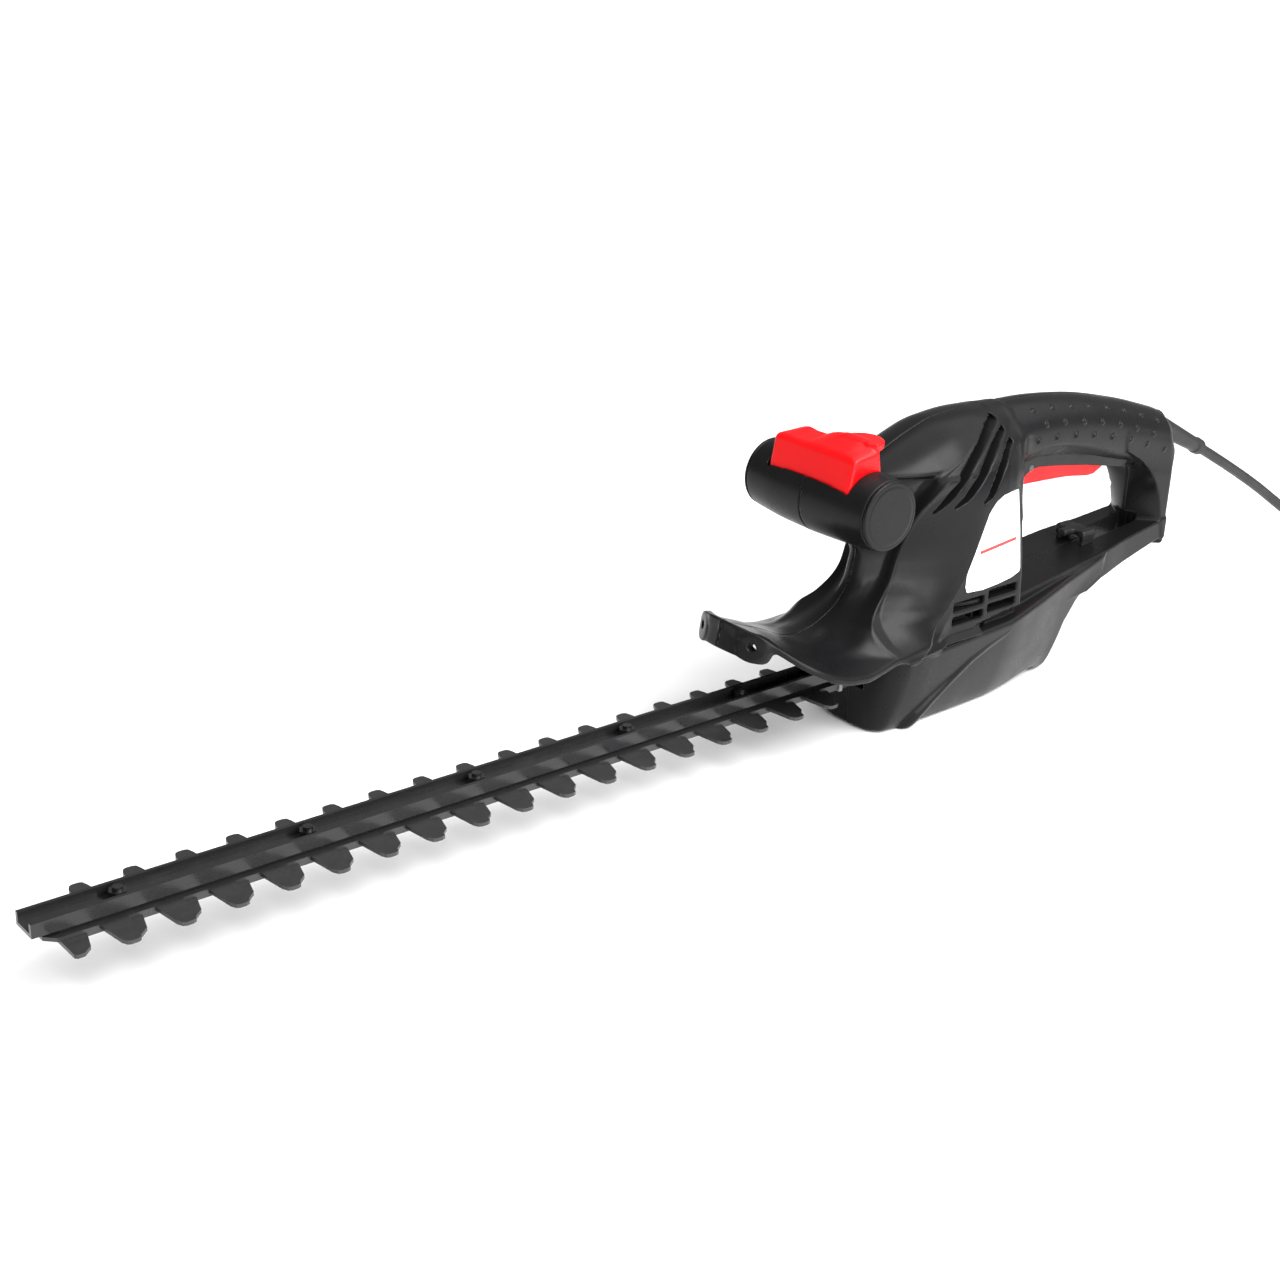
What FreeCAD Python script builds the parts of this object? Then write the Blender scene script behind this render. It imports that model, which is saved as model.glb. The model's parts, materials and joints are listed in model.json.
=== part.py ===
"""Electric hedge trimmer: guide bar with comb and cutter, motor housing with two handles, short mains lead.

Frame: +X runs forward along the blades, +Y is the left side, +Z is up.
The origin is under the middle of the tool, on the surface that it stands on.
"""
import FreeCAD, Part
import math
import os
import re
import Sketcher
from FreeCAD import Placement, Rotation, Vector

# ---------------------------------------------------------------- driving dimensions (mm)
SIZES = {
    # blades and guide bar
    "pitch": 27.0, "comb_teeth": 17, "cutter_teeth": 18, "comb_tooth_x": 352.0,
    "root_half": 10.0, "comb_tip_y": 30.4, "cutter_tip_y": 24.6, "comb_z": 32.0, "cutter_z": 29.9,
    "sheet_t": 2.0, "comb_front": 384.0, "cutter_front": 377.7, "bar_front": 390.0, "bar_rear": -127.5,
    "bar_z": 36.3, "bar_floor_t": 2.0, "bar_half": 8.0, "bar_wall": 2.0, "bar_top": 43.4, "rail_half": 5.0,
    "bolt_front": 345.0, "bolt_step": 99.0, "bolt_rear": -35.0, "bolt_r": 2.5, "bolt_clear": 0.1,
    "clamp_a": -111.0, "clamp_b": -122.0, "stroke_half": 8.0,
    # gear train
    "gear_x": -161.0, "motor_x": -188.0, "tooth_size": 1.0, "gear_count": 45, "pinion_count": 9,
    "gear_z": 38.0, "gear_t": 8.0, "gear_shaft_r": 4.0, "crank_r": 3.0, "bush_r": 7.0,
    "case_ledge": 47.0, "plate_z": 49.5, "plate_t": 6.5, "cover_floor": 24.0, "cover_half": 25.4,
    "flange_half": 30.8, "running": 0.05,
    # motor
    "shaft_r": 3.0, "core_r": 17.0, "stator_r": 32.0, "stator_bore": 17.7, "stack_z": 84.0, "stack_h": 36.0,
    "fan_r": 30.0, "fan_z": 62.0, "fan_t": 11.0, "bearing_r": 9.5, "bearing_t": 6.0, "top_bearing_z": 152.0,
    "brush_plate_z": 129.4, "comm_z": 133.0, "comm_h": 13.0, "comm_r": 11.0, "brush_z": 140.0,
    # front handle and its switch bar
    "barrel_x": -92.6, "barrel_z": 150.0, "barrel_r": 22.9, "barrel_end_r": 20.1, "barrel_half": 46.0,
    "bar_switch_half": 32.0, "bar_switch_front": -77.0, "bar_switch_rear": -110.0,
    "bar_switch_low": 160.0, "bar_switch_crest": 188.0,
    # rear handle, trigger
    "trigger_half": 8.0, "pivot_x": -254.0, "pivot_z": 139.0, "pivot_r": 2.0,
    "surround_half": 12.0, "plunger_x": -286.0, "switch_low": 147.0, "slot_half": 7.5,
    # housing
    "side_half": 38.0, "wing_half": 41.0, "wall": 3.0, "lug_y": 20.0, "lug_z": 80.0, "lug_hole": 2.1,
    "lug_front": -21.0, "screw_r": 2.0, "screw_head": 3.8,
    # mains lead
    "cord_r": 3.5, "sleeve_z": 143.5, "sleeve_length": 60.0, "sleeve_angle": 26.0, "sleeve_root_r": 6.5,
    "sleeve_end_r": 4.7, "exit_x": -388.0, "pin_r": 2.0, "pin_length": 19.0,
}

# Half outlines seen from above, front to rear: (x, half width) at a height.
HULL_LEVELS = {
    0.0: [(-124, 14), (-130, 22), (-200, 22), (-258, 18), (-276, 14)],
    76.0: [(-112, 24), (-122, 38), (-150, 47), (-232, 44), (-318, 28)],
}
BODY_LEVELS = {
    50.0: [(-104, 14), (-122, 33), (-150, 38), (-222, 38), (-229, 34)],
    137.0: [(-110, 13), (-127, 27), (-150, 38), (-222, 38), (-229, 33)],
    152.0: [(-114, 12), (-130, 22), (-150, 30), (-222, 30), (-230, 27)],
    172.0: [(-140, 8), (-150, 16), (-160, 22), (-222, 22), (-232, 20)],
    184.0: [(-172, 4), (-178, 8), (-185, 9), (-222, 9), (-232, 8)],
}
HULL_SIDE = [(-100, 0), (-276, 0), (-308, 57), (-318, 75), (-240, 61), (-216, 57.5), (-100, 52)]
LOWER_BAR_SIDE = [(-226, 50), (-226, 66), (-377, 82.5), (-386, 83), (-386, 71), (-319, 58), (-300, 50)]
LOWER_BAR_PLAN = [(-226, 28), (-250, 27.5), (-285, 26.5), (-315, 25.5), (-386, 20)]
# Guard sheet: heights of its upper face at y = 0, 20 and 50 on each cross-section.
GUARD_SECTIONS = {
    -8.0: (97, 96, 91), -33.0: (82, 81, 76), -55.0: (72.5, 71, 65), -75.0: (72.5, 69, 59),
    -97.0: (75, 68, 56), -134.0: (76, 68, 57),
}
GUARD_PLAN = [(-17, 8), (-23, 20), (-33, 33), (-42, 42), (-55, 50), (-75, 50), (-97, 47), (-118, 44), (-132, 42)]
GUARD_SHEET = 4.0
WING_SIDE = [(-128, 60), (-128, 125), (-146, 146), (-196, 146), (-198, 137), (-175, 106), (-142, 66), (-138, 60)]
LABEL_SIDE = [(-214, 135), (-221.5, 84.7), (-174, 84.8), (-174.5, 98.4), (-191, 126), (-200, 133)]
# Grip cross-sections: x, height of centre, half height, half width, and the hollow inside it.
GRIP_SECTIONS = [(-200, 163, 21, 21), (-254, 161, 20.5, 20), (-292, 157.5, 20, 20), (-342, 146.5, 20.5, 20),
                 (-372, 137.5, 20, 20), (-386, 133, 18.5, 19.5)]
GRIP_HOLLOW = [(-200, 163, 17.5, 17), (-254, 161, 17.3, 16.8), (-292, 157.5, 16.8, 16.8),
               (-342, 146.5, 17, 16.8), (-370, 139, 15, 15)]
POST_LEVELS = {
    72.0: [(-368, 4), (-375, 17), (-380, 20.6), (-385.5, 20.6), (-388.5, 11)],
    105.0: [(-368, 4), (-375, 17), (-380, 20.6), (-386, 20.4), (-389.2, 11)],
    138.0: [(-362, 4), (-369, 14), (-376, 19), (-385, 19), (-389, 10)],
}
BARREL_SECTIONS = [(-46, 20.1), (-24, 22.3), (0, 22.9), (24, 22.3), (46, 20.1)]
SURROUND_SIDE = [(-246, 146), (-246, 136), (-262, 134), (-277, 133), (-308, 129), (-341, 122.5), (-350, 124),
                 (-352, 129), (-340, 134)]
TRIGGER_SIDE = [(-248, 143), (-248, 128), (-263, 123), (-300, 121.5), (-328, 119), (-337, 119.7),
                (-342, 123.5), (-342, 133), (-300, 139.5), (-262, 144)]
# Switch bar, upper edge seen from the front: (y, z), wavy for the fingers.
SWITCH_BAR_CREST = [(-32, 181), (-27, 185), (-20, 185.5), (-10, 183.5), (0, 188), (10, 183.5), (20, 185.5),
                    (27, 185), (32, 181)]
# Housing screws: x, z and the y at which each head seats in the right shell.
HOUSING_SCREWS = [(-380, 100, -12), (-356, 141, -12), (-238, 150, -12), (-150, 164, -12), (-124, 118, -14),
                  (-133, 14, -14), (-205, 14, -14), (-252, 22, -11), (-270, 46, -15)]
BOSSES = [(-356, 141), (-238, 150), (-124, 118), (-133, 14), (-205, 14), (-252, 22), (-270, 46)]
CASE_SCREWS = [(-214, -28.4), (-214, 28.4), (-139, -28.4), (-139, 28.4)]
VENT_LINES = [((-140, 139), (-184, 172)), ((-156, 138), (-190, 163)), ((-174, 138), (-196, 153))]
VENT_WIDTH = 6.5
GRILLE_COLUMNS = [(-192, -165), (-221, -196)]
GRILLE_ROWS = [(63, 69), (73, 80)]
# Mains lead beyond the sleeve, down to the surface, and its plug.
CORD_ROUTE = [(-441.93, 0, 117.2), (-500, 0, 87), (-556, 1, 52), (-606, 5, 19.5), (-650, 12, 3.7),
              (-690, 19, 3.7), (-726, 26, 11)]
LEAD_R = 1.1
MOTOR_LEAD = [(-269.2, 4, 158), (-246, 7, 160), (-216, 9, 159), (-209, 10, 149), (-205, 14, 143), (-196, 18, 140)]
SUPPLY_LEAD = [(-373, 2, 143.5), (-357, 4, 149.5), (-333, 8, 158.4), (-317, 8, 158.4), (-301, 4, 158)]
FRONT_LEAD = [(-106, 3, 143), (-130, 3, 143), (-146, 4, 135), (-150, 5, 128)]

doc = FreeCAD.newDocument("HedgeTrimmer")
sheet = doc.addObject("Spreadsheet::Sheet", "Sizes")
nodes = []


def write_sheet():
    for row, (alias, value) in enumerate(SIZES.items(), start=1):
        sheet.set(f"A{row}", alias)
        sheet.set(f"B{row}", str(value))
        sheet.setAlias(f"B{row}", alias)
    doc.recompute()


def size(alias):
    return float(sheet.get(alias))


# ---------------------------------------------------------------- expression-bound building blocks
def tied(formula):
    """A formula on the sheet's aliases, written the way the document's expressions name them."""
    return re.sub(r"[a-z][a-z_]*", lambda m: "Sizes." + m.group(0) if m.group(0) in SIZES else m.group(0),
                  str(formula))


def value(formula):
    return float(sheet.evalExpression(tied(formula)))


TURNS = {
    "z": Rotation(),
    "x": Rotation(Vector(0, 1, 0), 90),
    "y": Rotation(Vector(1, 0, 0), -90),
}
SKETCH_TURNS = {
    "xy": Rotation(),
    "xz": Rotation(Vector(1, 0, 0), 90),
    "yz": Rotation(Vector(0, 1, 0), Vector(0, 0, 1), Vector(1, 0, 0)),
}


def bind(thing, formulas):
    for prop, formula in formulas.items():
        thing.setExpression(prop, tied(formula))


def put(thing, x, y, z, turn=None):
    if turn is not None:
        thing.Placement = Placement(Vector(), turn)
    bind(thing, {"Placement.Base.x": x, "Placement.Base.y": y, "Placement.Base.z": z})
    return thing


def add(kind, label):
    thing = doc.addObject(kind, "Item")
    thing.Label = label
    if hasattr(thing, "Refine"):
        thing.Refine = False
    return thing


def rod(label, radius, length, x, y, z, axis="z"):
    thing = add("Part::Cylinder", label)
    bind(thing, {"Radius": radius, "Height": length})
    return put(thing, x, y, z, TURNS[axis])


def cone(label, radius_a, radius_b, length, x, y, z, axis="z"):
    thing = add("Part::Cone", label)
    bind(thing, {"Radius1": radius_a, "Radius2": radius_b, "Height": length})
    return put(thing, x, y, z, TURNS[axis])


def block(label, x_span, y_span, z_span):
    thing = add("Part::Box", label)
    for prop, (low, high) in zip(("Length", "Width", "Height"), (x_span, y_span, z_span)):
        bind(thing, {prop: f"({high}) - ({low})"})
    return put(thing, x_span[0], y_span[0], z_span[0])


def fuse(label, *shapes):
    thing = add("Part::MultiFuse", label)
    thing.Shapes = list(shapes)
    return thing


def joined(label, first, *others):
    """The same as fuse, one piece after another, for the large free-form pieces."""
    whole = first
    for number, piece in enumerate(others, start=1):
        step = add("Part::Fuse", label if number == len(others) else f"{label} step {number}")
        step.Base = whole
        step.Tool = piece
        whole = step
    return whole


def cut(label, base, *tools):
    thing = add("Part::Cut", label)
    thing.Base = base
    thing.Tool = tools[0] if len(tools) == 1 else fuse(label + " tools", *tools)
    return thing


def common(label, *shapes):
    thing = add("Part::MultiCommon", label)
    thing.Shapes = list(shapes)
    return thing


def group(label, *shapes):
    thing = add("Part::Compound", label)
    thing.Links = list(shapes)
    return thing


def ring(label, outer, inner, length, x, y, z, axis="z"):
    return cut(label, rod(label + " outer", outer, length, x, y, z, axis),
               rod(label + " inner", inner, length, x, y, z, axis))


def fill_outline(sketch, points):
    """Closed outline of straight edges whose corners are bound to formulas."""
    corners = [Vector(value(a), value(b), 0) for a, b in points]
    for i, corner in enumerate(corners):
        sketch.addGeometry(Part.LineSegment(corner, corners[(i + 1) % len(corners)]))
    for i in range(len(corners)):
        sketch.addConstraint(Sketcher.Constraint("Coincident", i, 2, (i + 1) % len(corners), 1))
    for i, (a, b) in enumerate(points):
        for kind, formula, place in (("DistanceX", a, corners[i].x), ("DistanceY", b, corners[i].y)):
            index = sketch.addConstraint(Sketcher.Constraint(kind, -1, 1, i, 1, place))
            sketch.setExpression(f"Constraints[{index}]", tied(formula))


def outline(label, plane, points, offset="0"):
    sketch = add("Sketcher::SketchObject", label)
    fill_outline(sketch, points)
    base = {"xy": ("0", "0", offset), "xz": ("0", offset, "0"), "yz": (offset, "0", "0")}[plane]
    return put(sketch, *base, SKETCH_TURNS[plane])


def extrude(label, plane, points, low, high):
    """Solid between two offsets along the normal of the sketch's plane."""
    along = {"xy": high, "xz": high, "yz": low}[plane]
    if plane == "xy":
        along = low
    sketch = outline(label + " outline", plane, points, along)
    thing = add("Part::Extrusion", label)
    thing.Base = sketch
    thing.DirMode = "Normal"
    thing.Solid = True
    bind(thing, {"LengthFwd": f"({high}) - ({low})"})
    return thing


def loft(label, sections, ruled=True):
    thing = add("Part::Loft", label)
    thing.Sections = sections
    thing.Solid = True
    thing.Ruled = ruled
    return thing


def mirrored(half_outline):
    """Closed plan outline from its half: (x, half width), front to rear."""
    return list(half_outline) + [(x, f"-({half})") for x, half in reversed(half_outline)]


def oval(label, x, y, z, major, minor, x_dir, y_dir):
    thing = add("Part::Ellipse", label)
    bind(thing, {"MajorRadius": major, "MinorRadius": minor})
    return put(thing, x, y, z, Rotation(x_dir, y_dir, x_dir.cross(y_dir)))


def level_loft(label, levels):
    rows = [outline(f"{label} at {z}", "xy", mirrored(half), str(z)) for z, half in levels.items()]
    return loft(label, rows)


def keep(thing):
    """Marks a finished sub-part: its label is its node name."""
    nodes.append(thing)
    return thing


def fixed(label, shape):
    """A sub-part whose path or tooth form no feature draws."""
    thing = add("Part::Feature", label)
    thing.Shape = shape
    return thing


# ---------------------------------------------------------------- part design helpers
def origin_feature(body, role):
    return next(item for item in body.Origin.OriginFeatures if item.Role == role)


def plate_body(label, z):
    body = doc.addObject("PartDesign::Body", "Plate")
    body.Label = label
    bind(body, {"Placement.Base.z": z})
    return body


def plate_feature(body, kind, points, depth):
    sketch = body.newObject("Sketcher::SketchObject", "Profile")
    sketch.AttachmentSupport = [(origin_feature(body, "XY_Plane"), "")]
    sketch.MapMode = "FlatFace"
    fill_outline(sketch, points)
    feature = body.newObject(kind, "Feature")
    feature.Profile = sketch
    bind(feature, {"Length": depth})
    return feature


def along_blade(body, feature, count):
    pattern = body.newObject("PartDesign::LinearPattern", "Row")
    pattern.Originals = [feature]
    pattern.Direction = (origin_feature(body, "X_Axis"), [""])
    pattern.Reversed = True
    bind(pattern, {"Length": f"pitch * ({count} - 1)", "Occurrences": count})
    body.Tip = pattern
    return pattern


# ---------------------------------------------------------------- blades and guide bar
def bolt_places():
    return [f"bolt_front - bolt_step * {i}" for i in range(4)] + ["bolt_rear"]


def through_bolts(label, radius, low, high):
    places = bolt_places() + ["clamp_a", "clamp_b"]
    return [rod(f"{label} {i}", radius, f"({high}) - ({low})", x, "0", low) for i, x in enumerate(places)]


def comb_tooth(side):
    """Long tooth with a rounded tip, seen from above, about x = 0."""
    half = [("7.1", "root_half - 1"), ("4.8", "comb_tip_y - 3.6"), ("3.4", "comb_tip_y - 0.8"),
            ("1.6", "comb_tip_y"), ("-1.6", "comb_tip_y"), ("-3.4", "comb_tip_y - 0.8"),
            ("-4.4", "comb_tip_y - 4.4"), ("-7.1", "root_half - 1")]
    return [(f"comb_tooth_x + ({x})", f"{side} * ({y})") for x, y in half]


def cutter_tooth(side):
    """Shorter tooth with one straight flank and one slanted flank."""
    half = [("0", "root_half - 1"), ("0", "cutter_tip_y - 1.2"), ("-1.2", "cutter_tip_y"),
            ("-4.6", "cutter_tip_y"), ("-9.2", "cutter_tip_y - 4.0"), ("-12.8", "root_half - 1")]
    return [(f"cutter_front + ({x})", f"{side} * ({y})") for x, y in half]


def toothed_plate(label, z, root, tooth, count):
    body = plate_body(label, z)
    plate_feature(body, "PartDesign::Pad", root, "sheet_t")
    for side in (1, -1):
        along_blade(body, plate_feature(body, "PartDesign::Pad", tooth(side), "sheet_t"), count)
    return body


def comb_blade():
    root = mirrored([("comb_front", "5"), ("comb_front - 5", "root_half"), ("bar_rear", "root_half")])
    body = toothed_plate("comb blank", "comb_z", root, comb_tooth, "comb_teeth")
    holes = through_bolts("comb hole", "bolt_r + bolt_clear", "comb_z - 1", "comb_z + sheet_t + 1")
    keep(cut("comb_blade", body, *holes))


def cutter_blade():
    yoke_front, yoke_rear = "gear_x + 16", "gear_x - 16"
    root = mirrored([("cutter_front", "root_half - 0.2"), (yoke_front, "root_half - 0.2"), (yoke_front, "16"),
                     (yoke_rear, "16")])
    body = toothed_plate("cutter blank", "cutter_z", root, cutter_tooth, "cutter_teeth")
    reach = "stroke_half + bolt_r + 0.6"
    deep = ("cutter_z - 1", "cutter_z + sheet_t + 1")
    slots = [block(f"cutter slot {i}", (f"{x} - ({reach})", f"{x} + ({reach})"), ("-2.8", "2.8"), deep)
             for i, x in enumerate(bolt_places())]
    slots.append(block("clamp slot", (f"clamp_b - ({reach})", f"clamp_a + ({reach})"), ("-2.8", "2.8"), deep))
    slots.append(block("yoke slot", ("gear_x - crank_r - 2", "gear_x + crank_r + 2"), ("-12", "12"), deep))
    keep(cut("cutter_blade", body, *slots))


def guide_bar():
    channel = [("bar_half", "bar_z"), ("bar_half", "bar_top"), ("bar_half - bar_wall", "bar_top"),
               ("bar_half - bar_wall", "bar_z + bar_floor_t"), ("bar_wall - bar_half", "bar_z + bar_floor_t"),
               ("bar_wall - bar_half", "bar_top"), ("-bar_half", "bar_top"), ("-bar_half", "bar_z")]
    bar = extrude("channel", "yz", channel, "bar_rear", "bar_front")
    holes = through_bolts("bar hole", "bolt_r + bolt_clear", "bar_z - 1", "bar_z + bar_floor_t + 1")
    keep(cut("guide_bar", bar, *holes))


def bar_spacer():
    rail = block("rail", ("bar_rear", "comb_front - 8"), ("-rail_half", "rail_half"), ("comb_z + sheet_t", "bar_z"))
    keep(cut("bar_spacer", rail, *through_bolts("rail hole", "bolt_r + bolt_clear", "comb_z", "bar_z + 1")))


def hexagon(label, flats, height, x, y, z, bore=None):
    thing = add("Part::Prism", label)
    thing.Polygon = 6
    bind(thing, {"Circumradius": f"({flats}) / sqrt(3)", "Height": height})
    put(thing, x, y, z)
    if bore is None:
        return thing
    return cut(label + " bored", thing, rod(label + " bore", bore, height, x, y, z))


def bar_fasteners():
    bolts = []
    for i, x in enumerate(bolt_places() + ["clamp_a", "clamp_b"]):
        length = "47.0 - cutter_z" if i > 4 else "44.6 - cutter_z"
        shank = rod(f"shank {i}", "bolt_r", length, x, "0", "cutter_z - 0.1")
        head = rod(f"bolt head {i}", "4.6", "2.4", x, "0", "cutter_z - 2.5")
        bolts.append(fuse(f"bolt {i}", shank, head))
    keep(group("bar_bolts", *bolts))
    nuts = [hexagon(f"nut {i}", "8", "4.4", x, "0", "bar_z + bar_floor_t", "bolt_r + 0.02")
            for i, x in enumerate(bolt_places())]
    keep(group("bar_nuts", *nuts))


# ---------------------------------------------------------------- gear case and drive
def gear_wheel(count, size_of_tooth, thickness, addendum, dedendum, thin, start):
    """Straight-toothed wheel; start is the angle of one tooth's middle in degrees."""
    pressure = math.radians(25)
    pitch_r = count * size_of_tooth / 2
    base_r = pitch_r * math.cos(pressure)
    tip_r = pitch_r + addendum * size_of_tooth
    root_r = pitch_r - dedendum * size_of_tooth

    def roll(radius):
        ratio = min(1.0, base_r / radius)
        angle = math.acos(ratio)
        return math.tan(angle) - angle

    half_pitch = math.pi / (2 * count) - thin / pitch_r

    def flank(radius):
        return half_pitch + roll(pitch_r) - roll(max(radius, base_r))

    low_r = max(base_r, root_r + 0.05)
    radii = [low_r + (tip_r - low_r) * step / 4 for step in range(5)]
    points = []
    for tooth in range(count):
        middle = math.radians(start) + 2 * math.pi * tooth / count
        edge = [(root_r, -flank(low_r))] + [(r, -flank(r)) for r in radii]
        edge += [(r, flank(r)) for r in reversed(radii)] + [(root_r, flank(low_r))]
        points += [Vector(r * math.cos(middle + a), r * math.sin(middle + a), 0) for r, a in edge]
    face = Part.Face(Part.makePolygon(points + points[:1]))
    return face.extrude(Vector(0, 0, thickness))


def drive_gear():
    wheel = fixed("gear blank", gear_wheel(int(size("gear_count")), size("tooth_size"), size("gear_t"),
                                           0.8, 1.15, 0.09, 180 + 180 / size("gear_count")))
    put(wheel, "gear_x", "0", "gear_z")
    hub = rod("gear hub", "7.5", "3.2", "gear_x", "0", "gear_z + gear_t")
    bore = rod("gear bore", "gear_shaft_r", "20", "gear_x", "0", "gear_z - 2")
    pin_hole = rod("pin hole", "crank_r", "20", "gear_x", "stroke_half", "gear_z - 2")
    relief = ring("gear relief", "19", "13", "2", "gear_x", "0", "gear_z + gear_t - 2")
    keep(cut("drive_gear", fuse("gear body", wheel, hub), bore, pin_hole, relief))
    keep(rod("gear_shaft", "gear_shaft_r", "24", "gear_x", "0", "gear_z - 3"))
    keep(rod("crank_pin", "crank_r", "gear_z + gear_t - 27.5", "gear_x", "stroke_half", "27.5"))


def armature():
    pinion = fixed("pinion blank", gear_wheel(int(size("pinion_count")), size("tooth_size"), 9.0,
                                              0.9, 1.05, 0.09, 0))
    put(pinion, "motor_x", "0", "gear_z - 0.5")
    keep(cut("motor_pinion", pinion, rod("pinion bore", "2.2", "12", "motor_x", "0", "gear_z - 1")))
    keep(fuse("armature_shaft", rod("shaft tail", "2.2", "12", "motor_x", "0", "gear_z - 0.5"),
              rod("shaft body", "shaft_r", "111", "motor_x", "0", "gear_z + 10")))
    core = ring("core blank", "core_r", "shaft_r", "stack_h", "motor_x", "0", "stack_z")
    slots = [core_slot(i) for i in range(12)]
    keep(cut("armature_core", core, *slots))
    keep(group("armature_windings", winding("lower winding", "stack_z - 7"),
               winding("upper winding", "stack_z + stack_h")))
    segments = [commutator_gap(i) for i in range(12)]
    keep(cut("commutator", ring("commutator blank", "comm_r", "shaft_r", "comm_h", "motor_x", "0", "comm_z"),
             *segments))
    keep(cooling_fan())


def core_slot(index):
    slot = block(f"core slot {index}", ("11.5", "18"), ("-1", "1"), ("stack_z - 1", "stack_z + stack_h + 1"))
    slot.Placement = Placement(Vector(0, 0, 0), Rotation(Vector(0, 0, 1), 30 * index))
    turn = math.radians(30 * index)
    bind(slot, {"Placement.Base.x": f"motor_x + {11.5 * math.cos(turn) + math.sin(turn):.4f}",
                "Placement.Base.y": f"{11.5 * math.sin(turn) - math.cos(turn):.4f}",
                "Placement.Base.z": "stack_z - 1"})
    return slot


def commutator_gap(index):
    turn = math.radians(30 * index)
    gap = block(f"segment gap {index}", ("9.5", "12"), ("-0.25", "0.25"), ("comm_z + 2", "comm_z + comm_h + 1"))
    gap.Placement = Placement(Vector(), Rotation(Vector(0, 0, 1), 30 * index))
    bind(gap, {"Placement.Base.x": f"motor_x + {9.5 * math.cos(turn) + 0.25 * math.sin(turn):.4f}",
               "Placement.Base.y": f"{9.5 * math.sin(turn) - 0.25 * math.cos(turn):.4f}",
               "Placement.Base.z": "comm_z + 2"})
    return gap


def winding(label, z):
    return cut(label, cone(label + " bundle", "15.5", "14", "7", "motor_x", "0", z),
               rod(label + " bore", "shaft_r", "8", "motor_x", "0", z))


def cooling_fan():
    disc = rod("fan disc", "fan_r", "1.6", "motor_x", "0", "fan_z + fan_t - 1.6")
    hub = rod("fan hub", "6.5", "fan_t", "motor_x", "0", "fan_z")
    blades = []
    for index in range(11):
        turn = 360 * index / 11
        blade = block(f"fan blade {index}", ("6", "29.5"), ("-0.7", "0.7"), ("fan_z", "fan_z + fan_t - 1"))
        angle = math.radians(turn)
        blade.Placement = Placement(Vector(), Rotation(Vector(0, 0, 1), turn))
        bind(blade, {"Placement.Base.x": f"motor_x + {6 * math.cos(angle) + 0.7 * math.sin(angle):.4f}",
                     "Placement.Base.y": f"{6 * math.sin(angle) - 0.7 * math.cos(angle):.4f}",
                     "Placement.Base.z": "fan_z"})
        blades.append(blade)
    bore = rod("fan bore", "shaft_r", "20", "motor_x", "0", "fan_z - 2")
    return cut("fan", fuse("fan body", disc, hub, *blades), bore)


def gear_case():
    plate = block("plate slab", ("-222", "-130"), ("-flange_half + 0.4", "flange_half - 0.4"),
                  ("plate_z", "plate_z + plate_t"))
    tongue = block("plate tongue", ("-131", "-106.5"), ("-11.5", "11.5"), ("plate_z", "plate_z + plate_t"))
    boss = block("clamp boss", ("-127", "-106.5"), ("-5.8", "5.8"), ("bar_z + bar_floor_t", "plate_z + 1"))
    bores = [rod("bush bore", "bush_r", "20", "gear_x", "0", "plate_z - 5"),
             rod("bearing bore", "bearing_r", "20", "motor_x", "0", "plate_z - 5")]
    bores += [rod(f"clamp thread {i}", "bolt_r + bolt_clear", "12", x, "0", "bar_z")
              for i, x in enumerate(("clamp_a", "clamp_b"))]
    bores += [rod(f"case thread {i}", "1.7", "20", str(x), str(y), "plate_z - 5")
              for i, (x, y) in enumerate(CASE_SCREWS)]
    keep(cut("gearcase_plate", fuse("plate blank", plate, tongue, boss), *bores))
    keep(gearcase_cover())
    screws = []
    for i, (x, y) in enumerate(CASE_SCREWS):
        shank = rod(f"case shank {i}", "1.6", "8.8", str(x), str(y), "case_ledge")
        head = rod(f"case head {i}", "2.9", "2.2", str(x), str(y), "case_ledge - 2.2")
        screws.append(fuse(f"case screw {i}", shank, head))
    keep(group("gearcase_screws", *screws))
    keep(ring("gear_bush", "bush_r", "gear_shaft_r + running", "plate_t", "gear_x", "0", "plate_z"))
    keep(ring("lower_bearing", "bearing_r", "shaft_r + running", "bearing_t", "motor_x", "0", "plate_z + 0.3"))
    keep(ring("upper_bearing", "bearing_r", "shaft_r + running", "bearing_t", "motor_x", "0", "top_bearing_z"))


def gearcase_cover():
    flange = block("cover flange", ("-222", "-130"), ("-flange_half + 0.4", "flange_half - 0.4"),
                   ("case_ledge", "plate_z"))
    tray = block("cover tray", ("-200", "-129"), ("-cover_half", "cover_half"), ("cover_floor", "plate_z"))
    hollow = block("cover hollow", ("-198", "-131"), ("1.2 - cover_half", "cover_half - 1.2"),
                   ("cover_floor + 2", "plate_z + 1"))
    mouth = block("cover mouth", ("-135", "-120"), ("-root_half - 0.4", "root_half + 0.4"), ("29.3", "32.6"))
    holes = [rod(f"cover hole {i}", "1.7", "20", str(x), str(y), "case_ledge - 5")
             for i, (x, y) in enumerate(CASE_SCREWS)]
    return cut("gearcase_cover", fuse("cover blank", flange, tray), hollow, mouth, *holes)


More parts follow.
